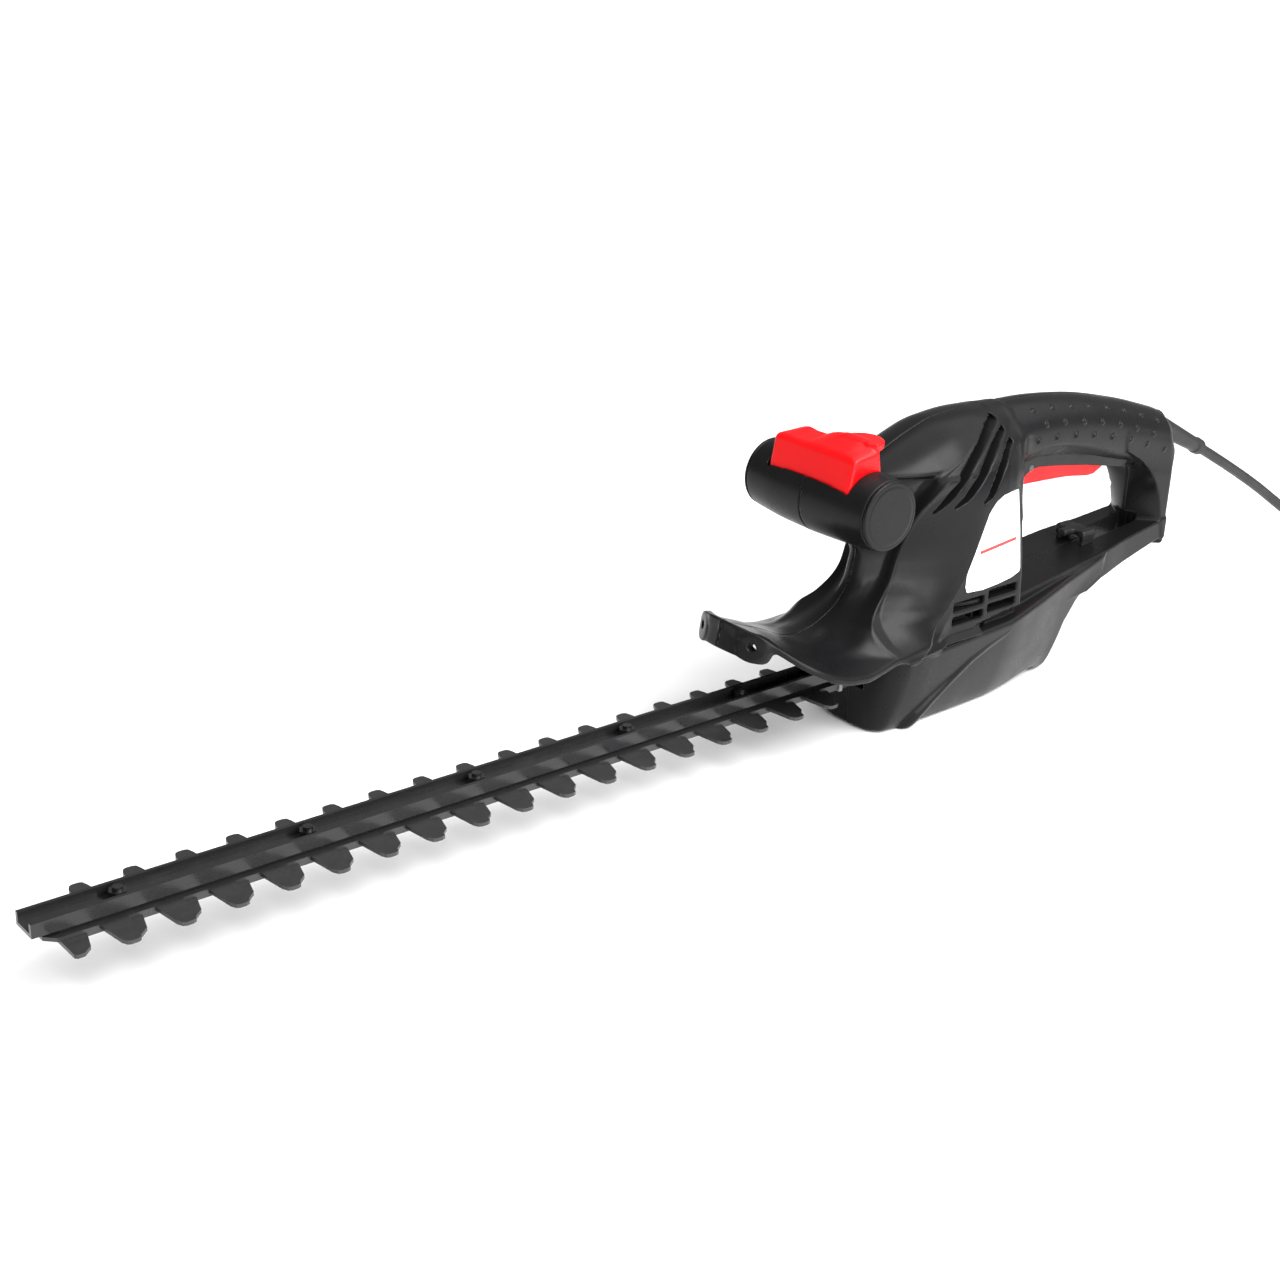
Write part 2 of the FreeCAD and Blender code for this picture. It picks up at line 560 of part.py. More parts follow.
# ---------------------------------------------------------------- motor, fixed parts
def stator():
    core = ring("stator blank", "stator_r", "stator_bore", "stack_h", "motor_x", "0", "stack_z")
    coil_rooms = [block("coil room left", ("motor_x - 15", "motor_x + 15"), ("17", "28"),
                        ("stack_z - 1", "stack_z + stack_h + 1")),
                  block("coil room right", ("motor_x - 15", "motor_x + 15"), ("-28", "-17"),
                        ("stack_z - 1", "stack_z + stack_h + 1"))]
    keep(cut("stator_core", core, *coil_rooms))
    coils = []
    for name, low, high in (("left", "18.2", "27.5"), ("right", "-27.5", "-18.2")):
        bundle = block(f"coil {name}", ("motor_x - 14.5", "motor_x + 14.5"), (low, high),
                       ("stack_z - 7", "stack_z + stack_h + 7"))
        window = block(f"coil window {name}", ("motor_x - 7", "motor_x + 7"), ("-30", "30"),
                       ("stack_z + 2", "stack_z + stack_h - 2"))
        coils.append(cut(f"field coil {name}", bundle, window))
    keep(group("field_coils", *coils))
    keep(ring("fan_baffle", "34.8", "21", "2", "motor_x", "0", "fan_z + fan_t + 0.8"))


def brush_gear():
    keep(ring("brush_plate", "34.3", "12.5", "2.5", "motor_x", "0", "brush_plate_z"))
    for name, side in (("left", 1), ("right", -1)):
        def span(low, high):
            return (f"{low * side}", f"{high * side}") if side > 0 else (f"{high * side}", f"{low * side}")
        across = ("motor_x - 4.5", "motor_x + 4.5")
        tube = block(f"{name} tube", across, span(12.6, 27.5), ("brush_plate_z + 2.5", "brush_z + 4.5"))
        room = block(f"{name} tube room", ("motor_x - 3", "motor_x + 3"), span(11, 26),
                     ("brush_z - 3", "brush_z + 3"))
        keep(cut(f"brush_holder_{name}", tube, room))
        keep(block(f"carbon_brush_{name}", ("motor_x - 2.9", "motor_x + 2.9"), span(11.05, 20),
                   ("brush_z - 2.9", "brush_z + 2.9")))
        keep(spring(f"brush_spring_{name}", 2.2, 0.35, 5.4, 6, (size("motor_x"), side * 20.5, size("brush_z")),
                    Vector(0, side, 0)))


def spring(label, radius, wire, length, turns, base, direction):
    helix = Part.makeHelix((length - 2 * wire) / turns, length - 2 * wire, radius)
    start = helix.Vertexes[0].Point
    ring_wire = Part.Wire(Part.makeCircle(wire, start, Vector(0, 1, 0)))
    body = Part.Wire(helix.Edges).makePipeShell([ring_wire], True, False)
    body.translate(Vector(0, 0, wire))
    thing = fixed(label, body)
    thing.Placement = Placement(Vector(*base), Rotation(Vector(0, 0, 1), direction))
    return thing


# ---------------------------------------------------------------- housing
def grip_loft(label, sections):
    rows = [oval(f"{label} {i}", str(x), "0", str(z), f"max({up}; {wide})", f"min({up}; {wide})",
                 Vector(0, 0, 1) if up >= wide else Vector(0, 1, 0),
                 Vector(0, -1, 0) if up >= wide else Vector(0, 0, 1))
            for i, (x, z, up, wide) in enumerate(sections)]
    return loft(label, rows, False)


def barrel():
    rows = []
    for y, radius in BARREL_SECTIONS:
        circle = add("Part::Circle", f"barrel ring {y}")
        bind(circle, {"Radius": f"barrel_r - {size('barrel_r') - radius:.2f}"})
        rows.append(put(circle, "barrel_x", str(y), "barrel_z", TURNS["y"]))
    return loft("front barrel", rows, False)


def guard():
    rows = []
    for x, (middle, inner, edge) in GUARD_SECTIONS.items():
        top = [(52, edge - 0.5), (20, inner), (0, middle), (-20, inner), (-52, edge - 0.5)]
        under = [(y, z - GUARD_SHEET) for y, z in reversed(top)]
        rows.append(outline(f"guard at {x}", "yz", top + under, str(x)))
    sheet_solid = loft("guard sheet", rows)
    plan = extrude("guard plan", "xy", mirrored(GUARD_PLAN), "40", "110")
    return common("guard", sheet_solid, plan)


def guard_lugs():
    tabs = []
    for name, span in (("left", ("lug_y - 8", "lug_y + 8")), ("right", ("-lug_y - 8", "8 - lug_y"))):
        tabs.append(block(f"lug {name}", ("lug_front - 4", "lug_front"), span, ("lug_z - 6", "lug_z + 5")))
    return tabs


def outer_form():
    hull = common("hull", level_loft("hull loft", HULL_LEVELS), extrude("hull side", "xz", HULL_SIDE, "-60", "60"))
    lower_bar = common("lower bar", extrude("lower bar side", "xz", LOWER_BAR_SIDE, "-60", "60"),
                       extrude("lower bar plan", "xy", mirrored(LOWER_BAR_PLAN), "40", "100"))
    body = level_loft("body", BODY_LEVELS)
    wings = extrude("wings", "xz", WING_SIDE, "-wing_half", "wing_half")
    wing_room = block("between wings", ("-200", "-120"), ("-30", "30"), ("50", "150"))
    nose = block("nose", ("-128", "-103"), ("-13.5", "13.5"), ("22", "60"))
    collar = rod("lead collar", "8.4", "8", "-390", "0", "sleeve_z", "x")
    return joined("outer form", hull, lower_bar, body, cut("wing plates", wings, wing_room), nose, collar,
                  grip_loft("grip", GRIP_SECTIONS), level_loft("rear post", POST_LEVELS), barrel(), guard(),
                  *guard_lugs())


def inner_rooms():
    return [
        rod("motor room", "34.5", "132 - 56", "motor_x", "0", "56"),
        rod("brush room", "28.6", "19", "motor_x", "0", "131.9"),
        rod("bearing room", "17.5", "18.5", "motor_x", "0", "149.5"),
        block("sump", ("-222", "-128"), ("-19", "19"), ("wall", "24")),
        block("gear room", ("-224", "-127.8"), ("-cover_half - 0.3", "cover_half + 0.3"),
              ("cover_floor - 1", "case_ledge")),
        block("plate room", ("-224", "-127.8"), ("-flange_half", "flange_half"), ("case_ledge", "56.1")),
        block("clamp room", ("-130", "-106"), ("-12", "12"), ("26.5", "56.1")),
        block("blade mouth", ("-107", "-100"), ("-10.9", "10.9"), ("29", "44.3")),
        block("rear room low", ("-262", "-220"), ("-13.5", "13.5"), ("4", "60")),
        block("rear room high", ("-283", "-240"), ("-19", "19"), ("38", "60")),
        block("neck room", ("-156", "-113.5"), ("-9", "9"), ("60", "131")),
        block("neck top room", ("-152", "-105"), ("-8", "8"), ("126", "149")),
        rod("barrel room", "19", "86", "barrel_x", "-43", "barrel_z", "y"),
        rod("barrel left end", "16.9", "4", "barrel_x", "42.5", "barrel_z", "y"),
        rod("barrel right end", "16.9", "4", "barrel_x", "-46.5", "barrel_z", "y"),
        grip_loft("grip room", GRIP_HOLLOW),
        block("switch bar mouth", ("bar_switch_rear - 0.4", "bar_switch_front + 0.4"),
              ("-bar_switch_half - 0.4", "bar_switch_half + 0.4"), ("155", "200")),
        block("trigger mouth", ("-352.5", "-245.5"), ("-surround_half - 0.05", "surround_half + 0.05"),
              ("110", "150")),
        rod("sleeve flange room", "8.6", "14", "-379", "0", "sleeve_z", "x"),
        rod("sleeve bore", "6.1", "24", "-394", "0", "sleeve_z", "x"),
        block("hook slot", ("-373", "-325"), ("-slot_half", "slot_half"), ("50", "100")),
    ]


def vents():
    rooms = []
    for i, ((x_a, z_a), (x_b, z_b)) in enumerate(VENT_LINES):
        length = math.hypot(x_b - x_a, z_b - z_a)
        across = Vector(-(z_b - z_a), x_b - x_a, 0) * (VENT_WIDTH / 2 / length)
        corners = [(x_a + across.x, z_a + across.y), (x_b + across.x, z_b + across.y),
                   (x_b - across.x, z_b - across.y), (x_a - across.x, z_a - across.y)]
        rooms.append(extrude(f"vent left {i}", "xz", corners, "22", "50"))
        rooms.append(extrude(f"vent right {i}", "xz", corners, "-50", "-22"))
    for x_low, x_high in GRILLE_COLUMNS:
        for z_low, z_high in GRILLE_ROWS:
            rooms.append(block(f"grille {x_low} {z_low}", (str(x_low), str(x_high)), ("-50", "50"),
                               (str(z_low), str(z_high))))
    return rooms


def ribs():
    seats = [ring("stator seat low", "34.6", "stator_r + 0.05", "3", "motor_x", "0", "stack_z + 2"),
             ring("stator seat high", "34.6", "stator_r + 0.05", "3", "motor_x", "0", "stack_z + stack_h - 5"),
             ring("top bearing seat", "17.6", "bearing_r + 0.03", "bearing_t", "motor_x", "0", "top_bearing_z"),
             rod("trigger spring seat", "3", "37", "-325", "-18.5", "153", "y")]
    seats += [rod(f"handle spring post {y}", "2.8", "11", "barrel_x", str(y), "129") for y in (-22, 22)]
    return seats


def screw_bosses(form):
    """Pillars across the hollow, as wide as the form is there."""
    pillars = [rod(f"boss {i}", "4.4", "100", str(x), "-50", str(z), "y") for i, (x, z) in enumerate(BOSSES)]
    return common("screw bosses", form, fuse("pillars", *pillars))


def screw_rooms():
    rooms = [rod(f"screw hole {i}", "screw_r + 0.1", f"9.6 - ({head})", str(x), str(head), str(z), "y")
             for i, (x, z, head) in enumerate(HOUSING_SCREWS)]
    rooms += [rod(f"head room {i}", "screw_head + 0.3", "60", str(x), f"({head}) - 60", str(z), "y")
              for i, (x, z, head) in enumerate(HOUSING_SCREWS)]
    rooms += [rod(f"case head room {i}", "3.3", "4.5", str(x), str(y), "case_ledge - 4")
              for i, (x, y) in enumerate(CASE_SCREWS)]
    rooms += [rod(f"lug hole {side}", "lug_hole", "12", "lug_front - 8", f"{side} * lug_y", "lug_z", "x")
              for side in (-1, 1)]
    return rooms


def housing():
    form = outer_form()
    hollow = cut("hollow form", form, *inner_rooms(), *vents())
    ribbed = joined("ribbed form", hollow, fuse("seats", *ribs()), screw_bosses(form))
    drilled = cut("drilled form", ribbed, *screw_rooms())
    for name, span in (("left", ("0", "80")), ("right", ("-80", "0"))):
        keep(common(f"housing_{name}", drilled, block(f"{name} half", ("-420", "20"), span, ("-5", "220"))))
    screws = []
    for i, (x, z, head) in enumerate(HOUSING_SCREWS):
        shank = rod(f"screw shank {i}", "screw_r", f"9 - ({head})", str(x), str(head), str(z), "y")
        top = rod(f"screw head {i}", "screw_head", "2.6", str(x), f"({head}) - 2.6", str(z), "y")
        screws.append(fuse(f"screw {i}", shank, top))
    keep(group("housing_screws", *screws))


def handle_caps():
    for name, side in (("left", 1), ("right", -1)):
        turn = Rotation(Vector(1, 0, 0), -90 * side)
        rim = cone(f"cap rim {name}", "barrel_end_r - 0.1", "barrel_end_r - 0.1", "1.6", "0", "0", "0")
        dome = cone(f"cap dome {name}", "barrel_end_r - 0.1", "barrel_end_r - 3.1", "1.1", "0", "0", "0")
        plug = cone(f"cap plug {name}", "16.8", "16.8", "6", "0", "0", "0")
        for piece, offset in ((rim, 0), (dome, 1.6), (plug, -6)):
            put(piece, "barrel_x", f"{side} * (barrel_half + ({offset}))", "barrel_z", turn)
        keep(fuse(f"handle_cap_{name}", rim, dome, plug))


def labels():
    keep(extrude("side_label_left", "xz", LABEL_SIDE, "side_half", "side_half + 0.4"))
    keep(extrude("side_label_right", "xz", LABEL_SIDE, "-side_half - 0.4", "-side_half"))


def felt_seal():
    pad = block("felt pad", ("-105.6", "-103.2"), ("-10.8", "10.8"), ("29.1", "44.2"))
    room_low = block("felt blade room", ("-110", "-100"), ("-root_half - 0.1", "root_half + 0.1"),
                     ("cutter_z - 0.1", "comb_z + sheet_t"))
    room_high = block("felt bar room", ("-110", "-100"), ("-bar_half", "bar_half"), ("comb_z + sheet_t", "bar_top"))
    keep(cut("felt_seal", pad, room_low, room_high))


# ---------------------------------------------------------------- switches and handles
def rear_controls():
    blank = extrude("surround blank", "xz", SURROUND_SIDE, "-surround_half", "surround_half")
    room = block("surround room", ("-343.5", "-247.5"), ("-trigger_half - 0.6", "trigger_half + 0.6"), ("110", "160"))
    keep(cut("trigger_surround", blank, room,
             rod("surround pin hole", "pivot_r + 0.02", "30", "pivot_x", "-15", "pivot_z", "y")))
    lever = extrude("trigger blank", "xz", TRIGGER_SIDE, "-trigger_half", "trigger_half")
    keep(cut("trigger", lever, rod("trigger bore", "pivot_r + running", "30", "pivot_x", "-15", "pivot_z", "y")))
    keep(rod("trigger_pin", "pivot_r", "23.8", "pivot_x", "-11.9", "pivot_z", "y"))
    keep(spring("trigger_spring", 2.6, 0.4, 13.2, 6, (-325, 0, 136.6), Vector(0, 0, 1)))
    case = block("rear switch case", ("-300", "-270"), ("-6", "6"), ("switch_low", "switch_low + 15"))
    keep(cut("rear_switch", case, rod("plunger bore", "1.6", "8", "plunger_x", "0", "switch_low - 1")))
    keep(rod("rear_switch_plunger", "1.5", "8", "plunger_x", "0", "141.9"))
    keep(block("capacitor", ("-322", "-304"), ("-6.5", "6.5"), ("159.8", "166.5")))


def front_controls():
    crest = [(str(y), str(z)) for y, z in SWITCH_BAR_CREST]
    front_view = [("-bar_switch_half", "bar_switch_low")] + crest + [("bar_switch_half", "bar_switch_low")]
    profile = [("bar_switch_front", "bar_switch_low"), ("bar_switch_front", "barrel_z + 20"),
               ("bar_switch_front - 7", "bar_switch_crest - 5"), ("bar_switch_front - 12", "bar_switch_crest + 1"),
               ("bar_switch_rear + 3", "bar_switch_crest + 1"), ("bar_switch_rear", "bar_switch_crest - 8"),
               ("bar_switch_rear", "bar_switch_low")]
    form = common("switch bar form", extrude("switch bar front", "yz", front_view, "-115", "-70"),
                  extrude("switch bar side", "xz", profile, "-40", "40"))
    hollow = block("switch bar hollow", ("bar_switch_rear + 2", "bar_switch_front - 2"), ("-29.5", "29.5"),
                   ("bar_switch_low - 1", "bar_switch_low + 9"))
    nose = rod("switch bar nose", "2.5", "bar_switch_low + 10 - 154.2", "barrel_x", "0", "154.2")
    keep(fuse("front_switch_bar", cut("switch bar shell", form, hollow), nose))
    case = block("front switch case", ("barrel_x - 13", "barrel_x + 13"), ("-6", "6"), ("136.6", "148.5"))
    keep(cut("front_switch", case, rod("front plunger bore", "1.6", "11", "barrel_x", "0", "138.5")))
    keep(rod("front_switch_plunger", "1.5", "9.6", "barrel_x", "0", "144.4"))
    for name, y in (("left", 22), ("right", -22)):
        keep(spring(f"front_spring_{name}", 4.0, 0.5, 28.6, 7, (size("barrel_x"), y, 140.2), Vector(0, 0, 1)))


def cable_hook():
    arch = [("-11", "74"), ("-11", "80"), ("-8", "86"), ("8", "86"), ("11", "80"), ("11", "74"), ("8", "74"),
            ("8", "79"), ("6", "82.5"), ("-6", "82.5"), ("-8", "79"), ("-8", "74")]
    form = extrude("hook arch", "yz", arch, "-326", "-314")
    horn = block("hook horn", ("-320", "-306"), ("-4", "4"), ("82.5", "86"))
    slope = extrude("hook base line", "xz", [("-340", "60"), ("-300", "60"), ("-300", "74.12"), ("-340", "78.49")],
                    "-30", "30")
    keep(cut("cable_hook", fuse("hook body", form, horn), slope))


# ---------------------------------------------------------------- mains lead
def rounded_path(route):
    """Wire of straight runs joined by tangent arcs as large as the runs allow, and the arcs' radii."""
    points = [Vector(*p) for p in route]
    edges, radii = [], []
    last = points[0]
    for before, corner, after in zip(points, points[1:], points[2:]):
        back, ahead = before - corner, after - corner
        half_turn = (math.pi - back.getAngle(ahead)) / 2
        reach = 0.45 * min(back.Length, ahead.Length)
        radii.append(reach / math.tan(half_turn))
        start = corner + Vector(back).normalize() * reach
        finish = corner + Vector(ahead).normalize() * reach
        inward = (Vector(back).normalize() + Vector(ahead).normalize()).normalize()
        middle = corner + inward * (radii[-1] / math.cos(half_turn) - radii[-1])
        edges.append(Part.LineSegment(last, start).toShape())
        edges.append(Part.Arc(start, middle, finish).toShape())
        last = finish
    edges.append(Part.LineSegment(last, points[-1]).toShape())
    return Part.Wire(edges), radii


def tube(label, route, radius):
    path, radii = rounded_path(route)
    first = Vector(*route[1]) - Vector(*route[0])
    section = Part.Wire(Part.makeCircle(radius, Vector(*route[0]), first))
    solid = path.makePipeShell([section], True, True)
    expected = math.pi * radius ** 2 * path.Length
    print(f"{label}: length {path.Length:.1f}, radii {[round(r, 1) for r in radii]}, "
          f"volume ratio {solid.Volume / expected:.4f}")
    return fixed(label, solid)


def mains_lead():
    root = rod("sleeve root", "6", "14", "-388", "0", "sleeve_z", "x")
    flange = rod("sleeve flange", "8.4", "3", "-377", "0", "sleeve_z", "x")
    taper = cone("sleeve taper", "sleeve_root_r", "sleeve_end_r", "sleeve_length", "exit_x", "0", "sleeve_z")
    slope = math.radians(size("sleeve_angle"))
    down = Vector(-math.cos(slope), 0, -math.sin(slope))
    taper.Placement = Placement(Vector(size("exit_x"), 0, size("sleeve_z")), Rotation(Vector(0, 0, 1), down))
    elbow = add("Part::Sphere", "sleeve elbow")
    bind(elbow, {"Radius": "sleeve_root_r"})
    put(elbow, "exit_x", "0", "sleeve_z")
    rear_side = block("behind collar", ("-460", "-390"), ("-10", "10"), ("90", "160"))
    tail = common("sleeve tail", fuse("sleeve bend", taper, elbow), rear_side)
    stub = rod("sleeve stub", "6", "4", "-391", "0", "sleeve_z", "x")
    keep(fuse("strain_relief", root, flange, stub, tail))
    keep(tube("power_cord", CORD_ROUTE, size("cord_r")))
    plug(Vector(*CORD_ROUTE[-1]), Vector(*CORD_ROUTE[-1]) - Vector(*CORD_ROUTE[-2]))


def plug(start, direction):
    """Contour plug lying on the surface, in line with the lead."""
    heading = math.degrees(math.atan2(direction.y, direction.x))
    turn = Rotation(Vector(0, 0, 1), heading)
    sections = [(0, 5.2, 5.2), (14, 6.5, 6), (26, 12, 8.8), (38, 17, 10.6), (50, 17.5, 10.6)]
    rows = []
    for along, half_wide, half_high in sections:
        row = add("Part::Ellipse", f"plug section {along}")
        row.MajorRadius = half_wide + 0.001
        row.MinorRadius = half_high
        row.Placement = Placement(start + turn.multVec(Vector(along, 0, 0)),
                                  turn * Rotation(Vector(0, 1, 0), Vector(0, 0, 1), Vector(1, 0, 0)))
        rows.append(row)
    keep(loft("plug_body", rows, False))
    pins = []
    for side in (-9.5, 9.5):
        pin = add("Part::Cylinder", f"pin {side}")
        bind(pin, {"Radius": "pin_r", "Height": "pin_length"})
        pin.Placement = Placement(start + turn.multVec(Vector(50, side, 0)), turn * TURNS["x"])
        pins.append(pin)
    keep(group("plug_pins", *pins))


def inner_leads():
    for label, route in (("supply_leads", SUPPLY_LEAD), ("motor_leads", MOTOR_LEAD), ("front_leads", FRONT_LEAD)):
        pair = [tube(f"{label} {side}", [(x, side * y, z) for x, y, z in route], LEAD_R) for side in (1, -1)]
        keep(group(label, *pair))


def cord_clamp():
    block_solid = block("clamp block", ("-368", "-361"), ("-9", "9"), ("sleeve_z - 8", "sleeve_z - 2"))
    keep(cut("cord_clamp", block_solid, rod("clamp groove", "3.6", "12", "-370", "0", "sleeve_z", "x")))


# ---------------------------------------------------------------- build, check, write
def check_document():
    problems = [item.Label for item in doc.Objects if set(item.State) & {"Invalid", "Error"}]
    for item in nodes:
        if item.Shape.isNull() or not item.Shape.isValid():
            problems.append(item.Label + " shape")
    if problems:
        raise RuntimeError("failed: " + ", ".join(problems))


def main():
    write_sheet()
    comb_blade()
    cutter_blade()
    guide_bar()
    bar_spacer()
    bar_fasteners()
    drive_gear()
    armature()
    gear_case()
    stator()
    brush_gear()
    housing()
    handle_caps()
    labels()
    felt_seal()
    rear_controls()
    front_controls()
    cable_hook()
    cord_clamp()
    inner_leads()
    mains_lead()
    doc.recompute()
    check_document()
    os.makedirs("parts", exist_ok=True)
    for item in nodes:
        item.Shape.exportStep(f"parts/{item.Label}.step")
        box = item.Shape.BoundBox
        print(f"{item.Label:22s} solids {len(item.Shape.Solids)} volume {item.Shape.Volume:9.0f} "
              f"x {box.XMin:7.1f} {box.XMax:7.1f} y {box.YMin:6.1f} {box.YMax:6.1f} z {box.ZMin:6.1f} {box.ZMax:6.1f}")
    print(len(nodes), "sub-parts")


main()
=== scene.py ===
"""Looks of the hedge trimmer: moulded black housing, red controls, coated blades, mains lead and floor."""

import json
import math

import bmesh
import bpy
import numpy as np
import openvdb as vdb
from mathutils import Matrix, Vector


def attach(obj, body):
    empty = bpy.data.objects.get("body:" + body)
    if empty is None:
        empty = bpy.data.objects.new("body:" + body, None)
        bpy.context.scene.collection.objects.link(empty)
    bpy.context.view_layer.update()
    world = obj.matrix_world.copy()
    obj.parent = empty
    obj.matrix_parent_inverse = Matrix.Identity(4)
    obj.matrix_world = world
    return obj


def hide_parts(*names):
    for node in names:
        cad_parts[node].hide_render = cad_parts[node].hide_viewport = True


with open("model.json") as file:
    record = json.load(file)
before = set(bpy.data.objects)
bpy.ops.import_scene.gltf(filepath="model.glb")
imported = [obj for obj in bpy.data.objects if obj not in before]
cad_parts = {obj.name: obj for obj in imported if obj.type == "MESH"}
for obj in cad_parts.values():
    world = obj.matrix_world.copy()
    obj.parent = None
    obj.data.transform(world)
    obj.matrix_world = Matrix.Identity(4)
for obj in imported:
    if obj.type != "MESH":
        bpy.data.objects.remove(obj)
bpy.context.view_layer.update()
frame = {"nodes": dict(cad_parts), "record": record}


MM = 0.001

# ---------------------------------------------------------------- camera
CAMERA_PLACE = (0.686175, 0.759446, 0.511634)
CAMERA_YAW, CAMERA_PITCH, CAMERA_ROLL = 4.00838781, 0.398178586, 0.0403894928
LENS_MM, SENSOR_MM = 57.163, 36.0


def add_camera():
    ahead = Vector((math.cos(CAMERA_YAW) * math.cos(CAMERA_PITCH),
                    math.sin(CAMERA_YAW) * math.cos(CAMERA_PITCH), -math.sin(CAMERA_PITCH)))
    right = ahead.cross(Vector((0, 0, 1))).normalized()
    up = right.cross(ahead)
    c, s = math.cos(CAMERA_ROLL), math.sin(CAMERA_ROLL)
    turned_right, turned_up = c * right + s * up, c * up - s * right
    data = bpy.data.cameras.new("view_camera")
    data.lens, data.sensor_width = LENS_MM, SENSOR_MM
    data.clip_start, data.clip_end = 0.01, 50
    camera = bpy.data.objects.new("view_camera", data)
    bpy.context.scene.collection.objects.link(camera)
    turn = Matrix((turned_right, turned_up, -ahead)).transposed().to_4x4()
    camera.matrix_world = Matrix.Translation(CAMERA_PLACE) @ turn
    bpy.context.scene.camera = camera


add_camera()

# ---------------------------------------------------------------- mains lead
CORD_R = 0.0035
CORD_ROUTE = [(-0.44193, 0, 0.1172), (-0.500, 0, 0.087), (-0.556, 0.001, 0.052),
              (-0.606, 0.005, 0.0195), (-0.650, 0.012, 0.0037), (-0.690, 0.019, 0.0037),
              (-0.726, 0.026, 0.011)]


def add_cord():
    data = bpy.data.curves.new("mains_lead", "CURVE")
    data.dimensions = "3D"
    spline = data.splines.new("NURBS")
    spline.points.add(len(CORD_ROUTE) - 1)
    for point, place in zip(spline.points, CORD_ROUTE):
        point.co = (*place, 1)
        point.radius = CORD_R
    spline.order_u = 3
    spline.use_endpoint_u = True
    spline.resolution_u = 24
    data.bevel_depth = 1
    data.bevel_resolution = 6
    data.use_fill_caps = True
    cord = bpy.data.objects.new("mains_lead", data)
    bpy.context.scene.collection.objects.link(cord)
    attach(cord, "housing")
    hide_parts("power_cord")
    return cord


cord = add_cord()

# ---------------------------------------------------------------- materials
def new_material(name):
    material = bpy.data.materials.new(name)
    material.use_nodes = True
    shader = material.node_tree.nodes["Principled BSDF"]
    return material, material.node_tree.nodes, material.node_tree.links, shader


def noise(nodes, links, scale, detail, rough=0.6, stretch=None):
    """Noise in the object's own coordinates; scale is in cells per metre."""
    place = nodes.new("ShaderNodeTexCoord")
    texture = nodes.new("ShaderNodeTexNoise")
    texture.inputs["Scale"].default_value = scale
    texture.inputs["Detail"].default_value = detail
    texture.inputs["Roughness"].default_value = rough
    if stretch:
        mapping = nodes.new("ShaderNodeMapping")
        mapping.inputs["Scale"].default_value = stretch
        links.new(place.outputs["Object"], mapping.inputs["Vector"])
        links.new(mapping.outputs["Vector"], texture.inputs["Vector"])
    else:
        links.new(place.outputs["Object"], texture.inputs["Vector"])
    return texture.outputs["Fac"]


NOISE_LOW, NOISE_HIGH = 0.35, 0.65


def span(nodes, links, source, low, high):
    """Noise, from its usual range, stretched to low..high."""
    node = nodes.new("ShaderNodeMapRange")
    limits = (("From Min", NOISE_LOW), ("From Max", NOISE_HIGH), ("To Min", low), ("To Max", high))
    for key, number in limits:
        node.inputs[key].default_value = number
    links.new(source, node.inputs["Value"])
    return node.outputs["Result"]


def mix_colours(nodes, links, factor, first, second):
    node = nodes.new("ShaderNodeMix")
    node.data_type = "RGBA"
    links.new(factor, node.inputs["Factor"])
    node.inputs["A"].default_value = (*first, 1)
    node.inputs["B"].default_value = (*second, 1)
    return node.outputs["Result"]


def bump(nodes, links, source, depth, shader):
    node = nodes.new("ShaderNodeBump")
    node.inputs["Strength"].default_value = 1.0
    node.inputs["Distance"].default_value = depth
    links.new(source, node.inputs["Height"])
    links.new(node.outputs["Normal"], shader.inputs["Normal"])


def moulded(name, dark, light, rough_low, rough_high, grain=2600, depth=0.00002, gloss=0.5):
    """Moulded plastic or rubber: fine spark-eroded grain, cloudy gloss and a slight change of tone."""
    material, nodes, links, shader = new_material(name)
    cloud = noise(nodes, links, 38, 3)
    links.new(mix_colours(nodes, links, cloud, dark, light), shader.inputs["Base Color"])
    dullness = span(nodes, links, noise(nodes, links, 60, 5), rough_low, rough_high)
    links.new(dullness, shader.inputs["Roughness"])
    shader.inputs["Specular IOR Level"].default_value = gloss
    bump(nodes, links, noise(nodes, links, grain, 3, 0.7), depth, shader)
    return material


def metal(name, dark, light, rough_low, rough_high, metallic=1.0, stretch=(3, 60, 60), depth=0.000008):
    """Metal with fine lines of grinding and dull patches."""
    material, nodes, links, shader = new_material(name)
    shader.inputs["Metallic"].default_value = metallic
    lines = noise(nodes, links, 60, 6, 0.7, stretch)
    links.new(mix_colours(nodes, links, lines, dark, light), shader.inputs["Base Color"])
    dullness = span(nodes, links, noise(nodes, links, 90, 6), rough_low, rough_high)
    links.new(dullness, shader.inputs["Roughness"])
    bump(nodes, links, lines, depth, shader)
    return material


def lamination(name, dark, light):
    """Stacked sheets: fine rings along the height."""
    material, nodes, links, shader = new_material(name)
    place = nodes.new("ShaderNodeTexCoord")
    wave = nodes.new("ShaderNodeTexWave")
    wave.bands_direction = "Z"
    wave.inputs["Scale"].default_value = 320
    wave.inputs["Distortion"].default_value = 0.2
    links.new(place.outputs["Object"], wave.inputs["Vector"])
    links.new(mix_colours(nodes, links, wave.outputs["Fac"], dark, light), shader.inputs["Base Color"])
    shader.inputs["Metallic"].default_value = 0.9
    shader.inputs["Roughness"].default_value = 0.5
    bump(nodes, links, wave.outputs["Fac"], 0.00005, shader)
    return material


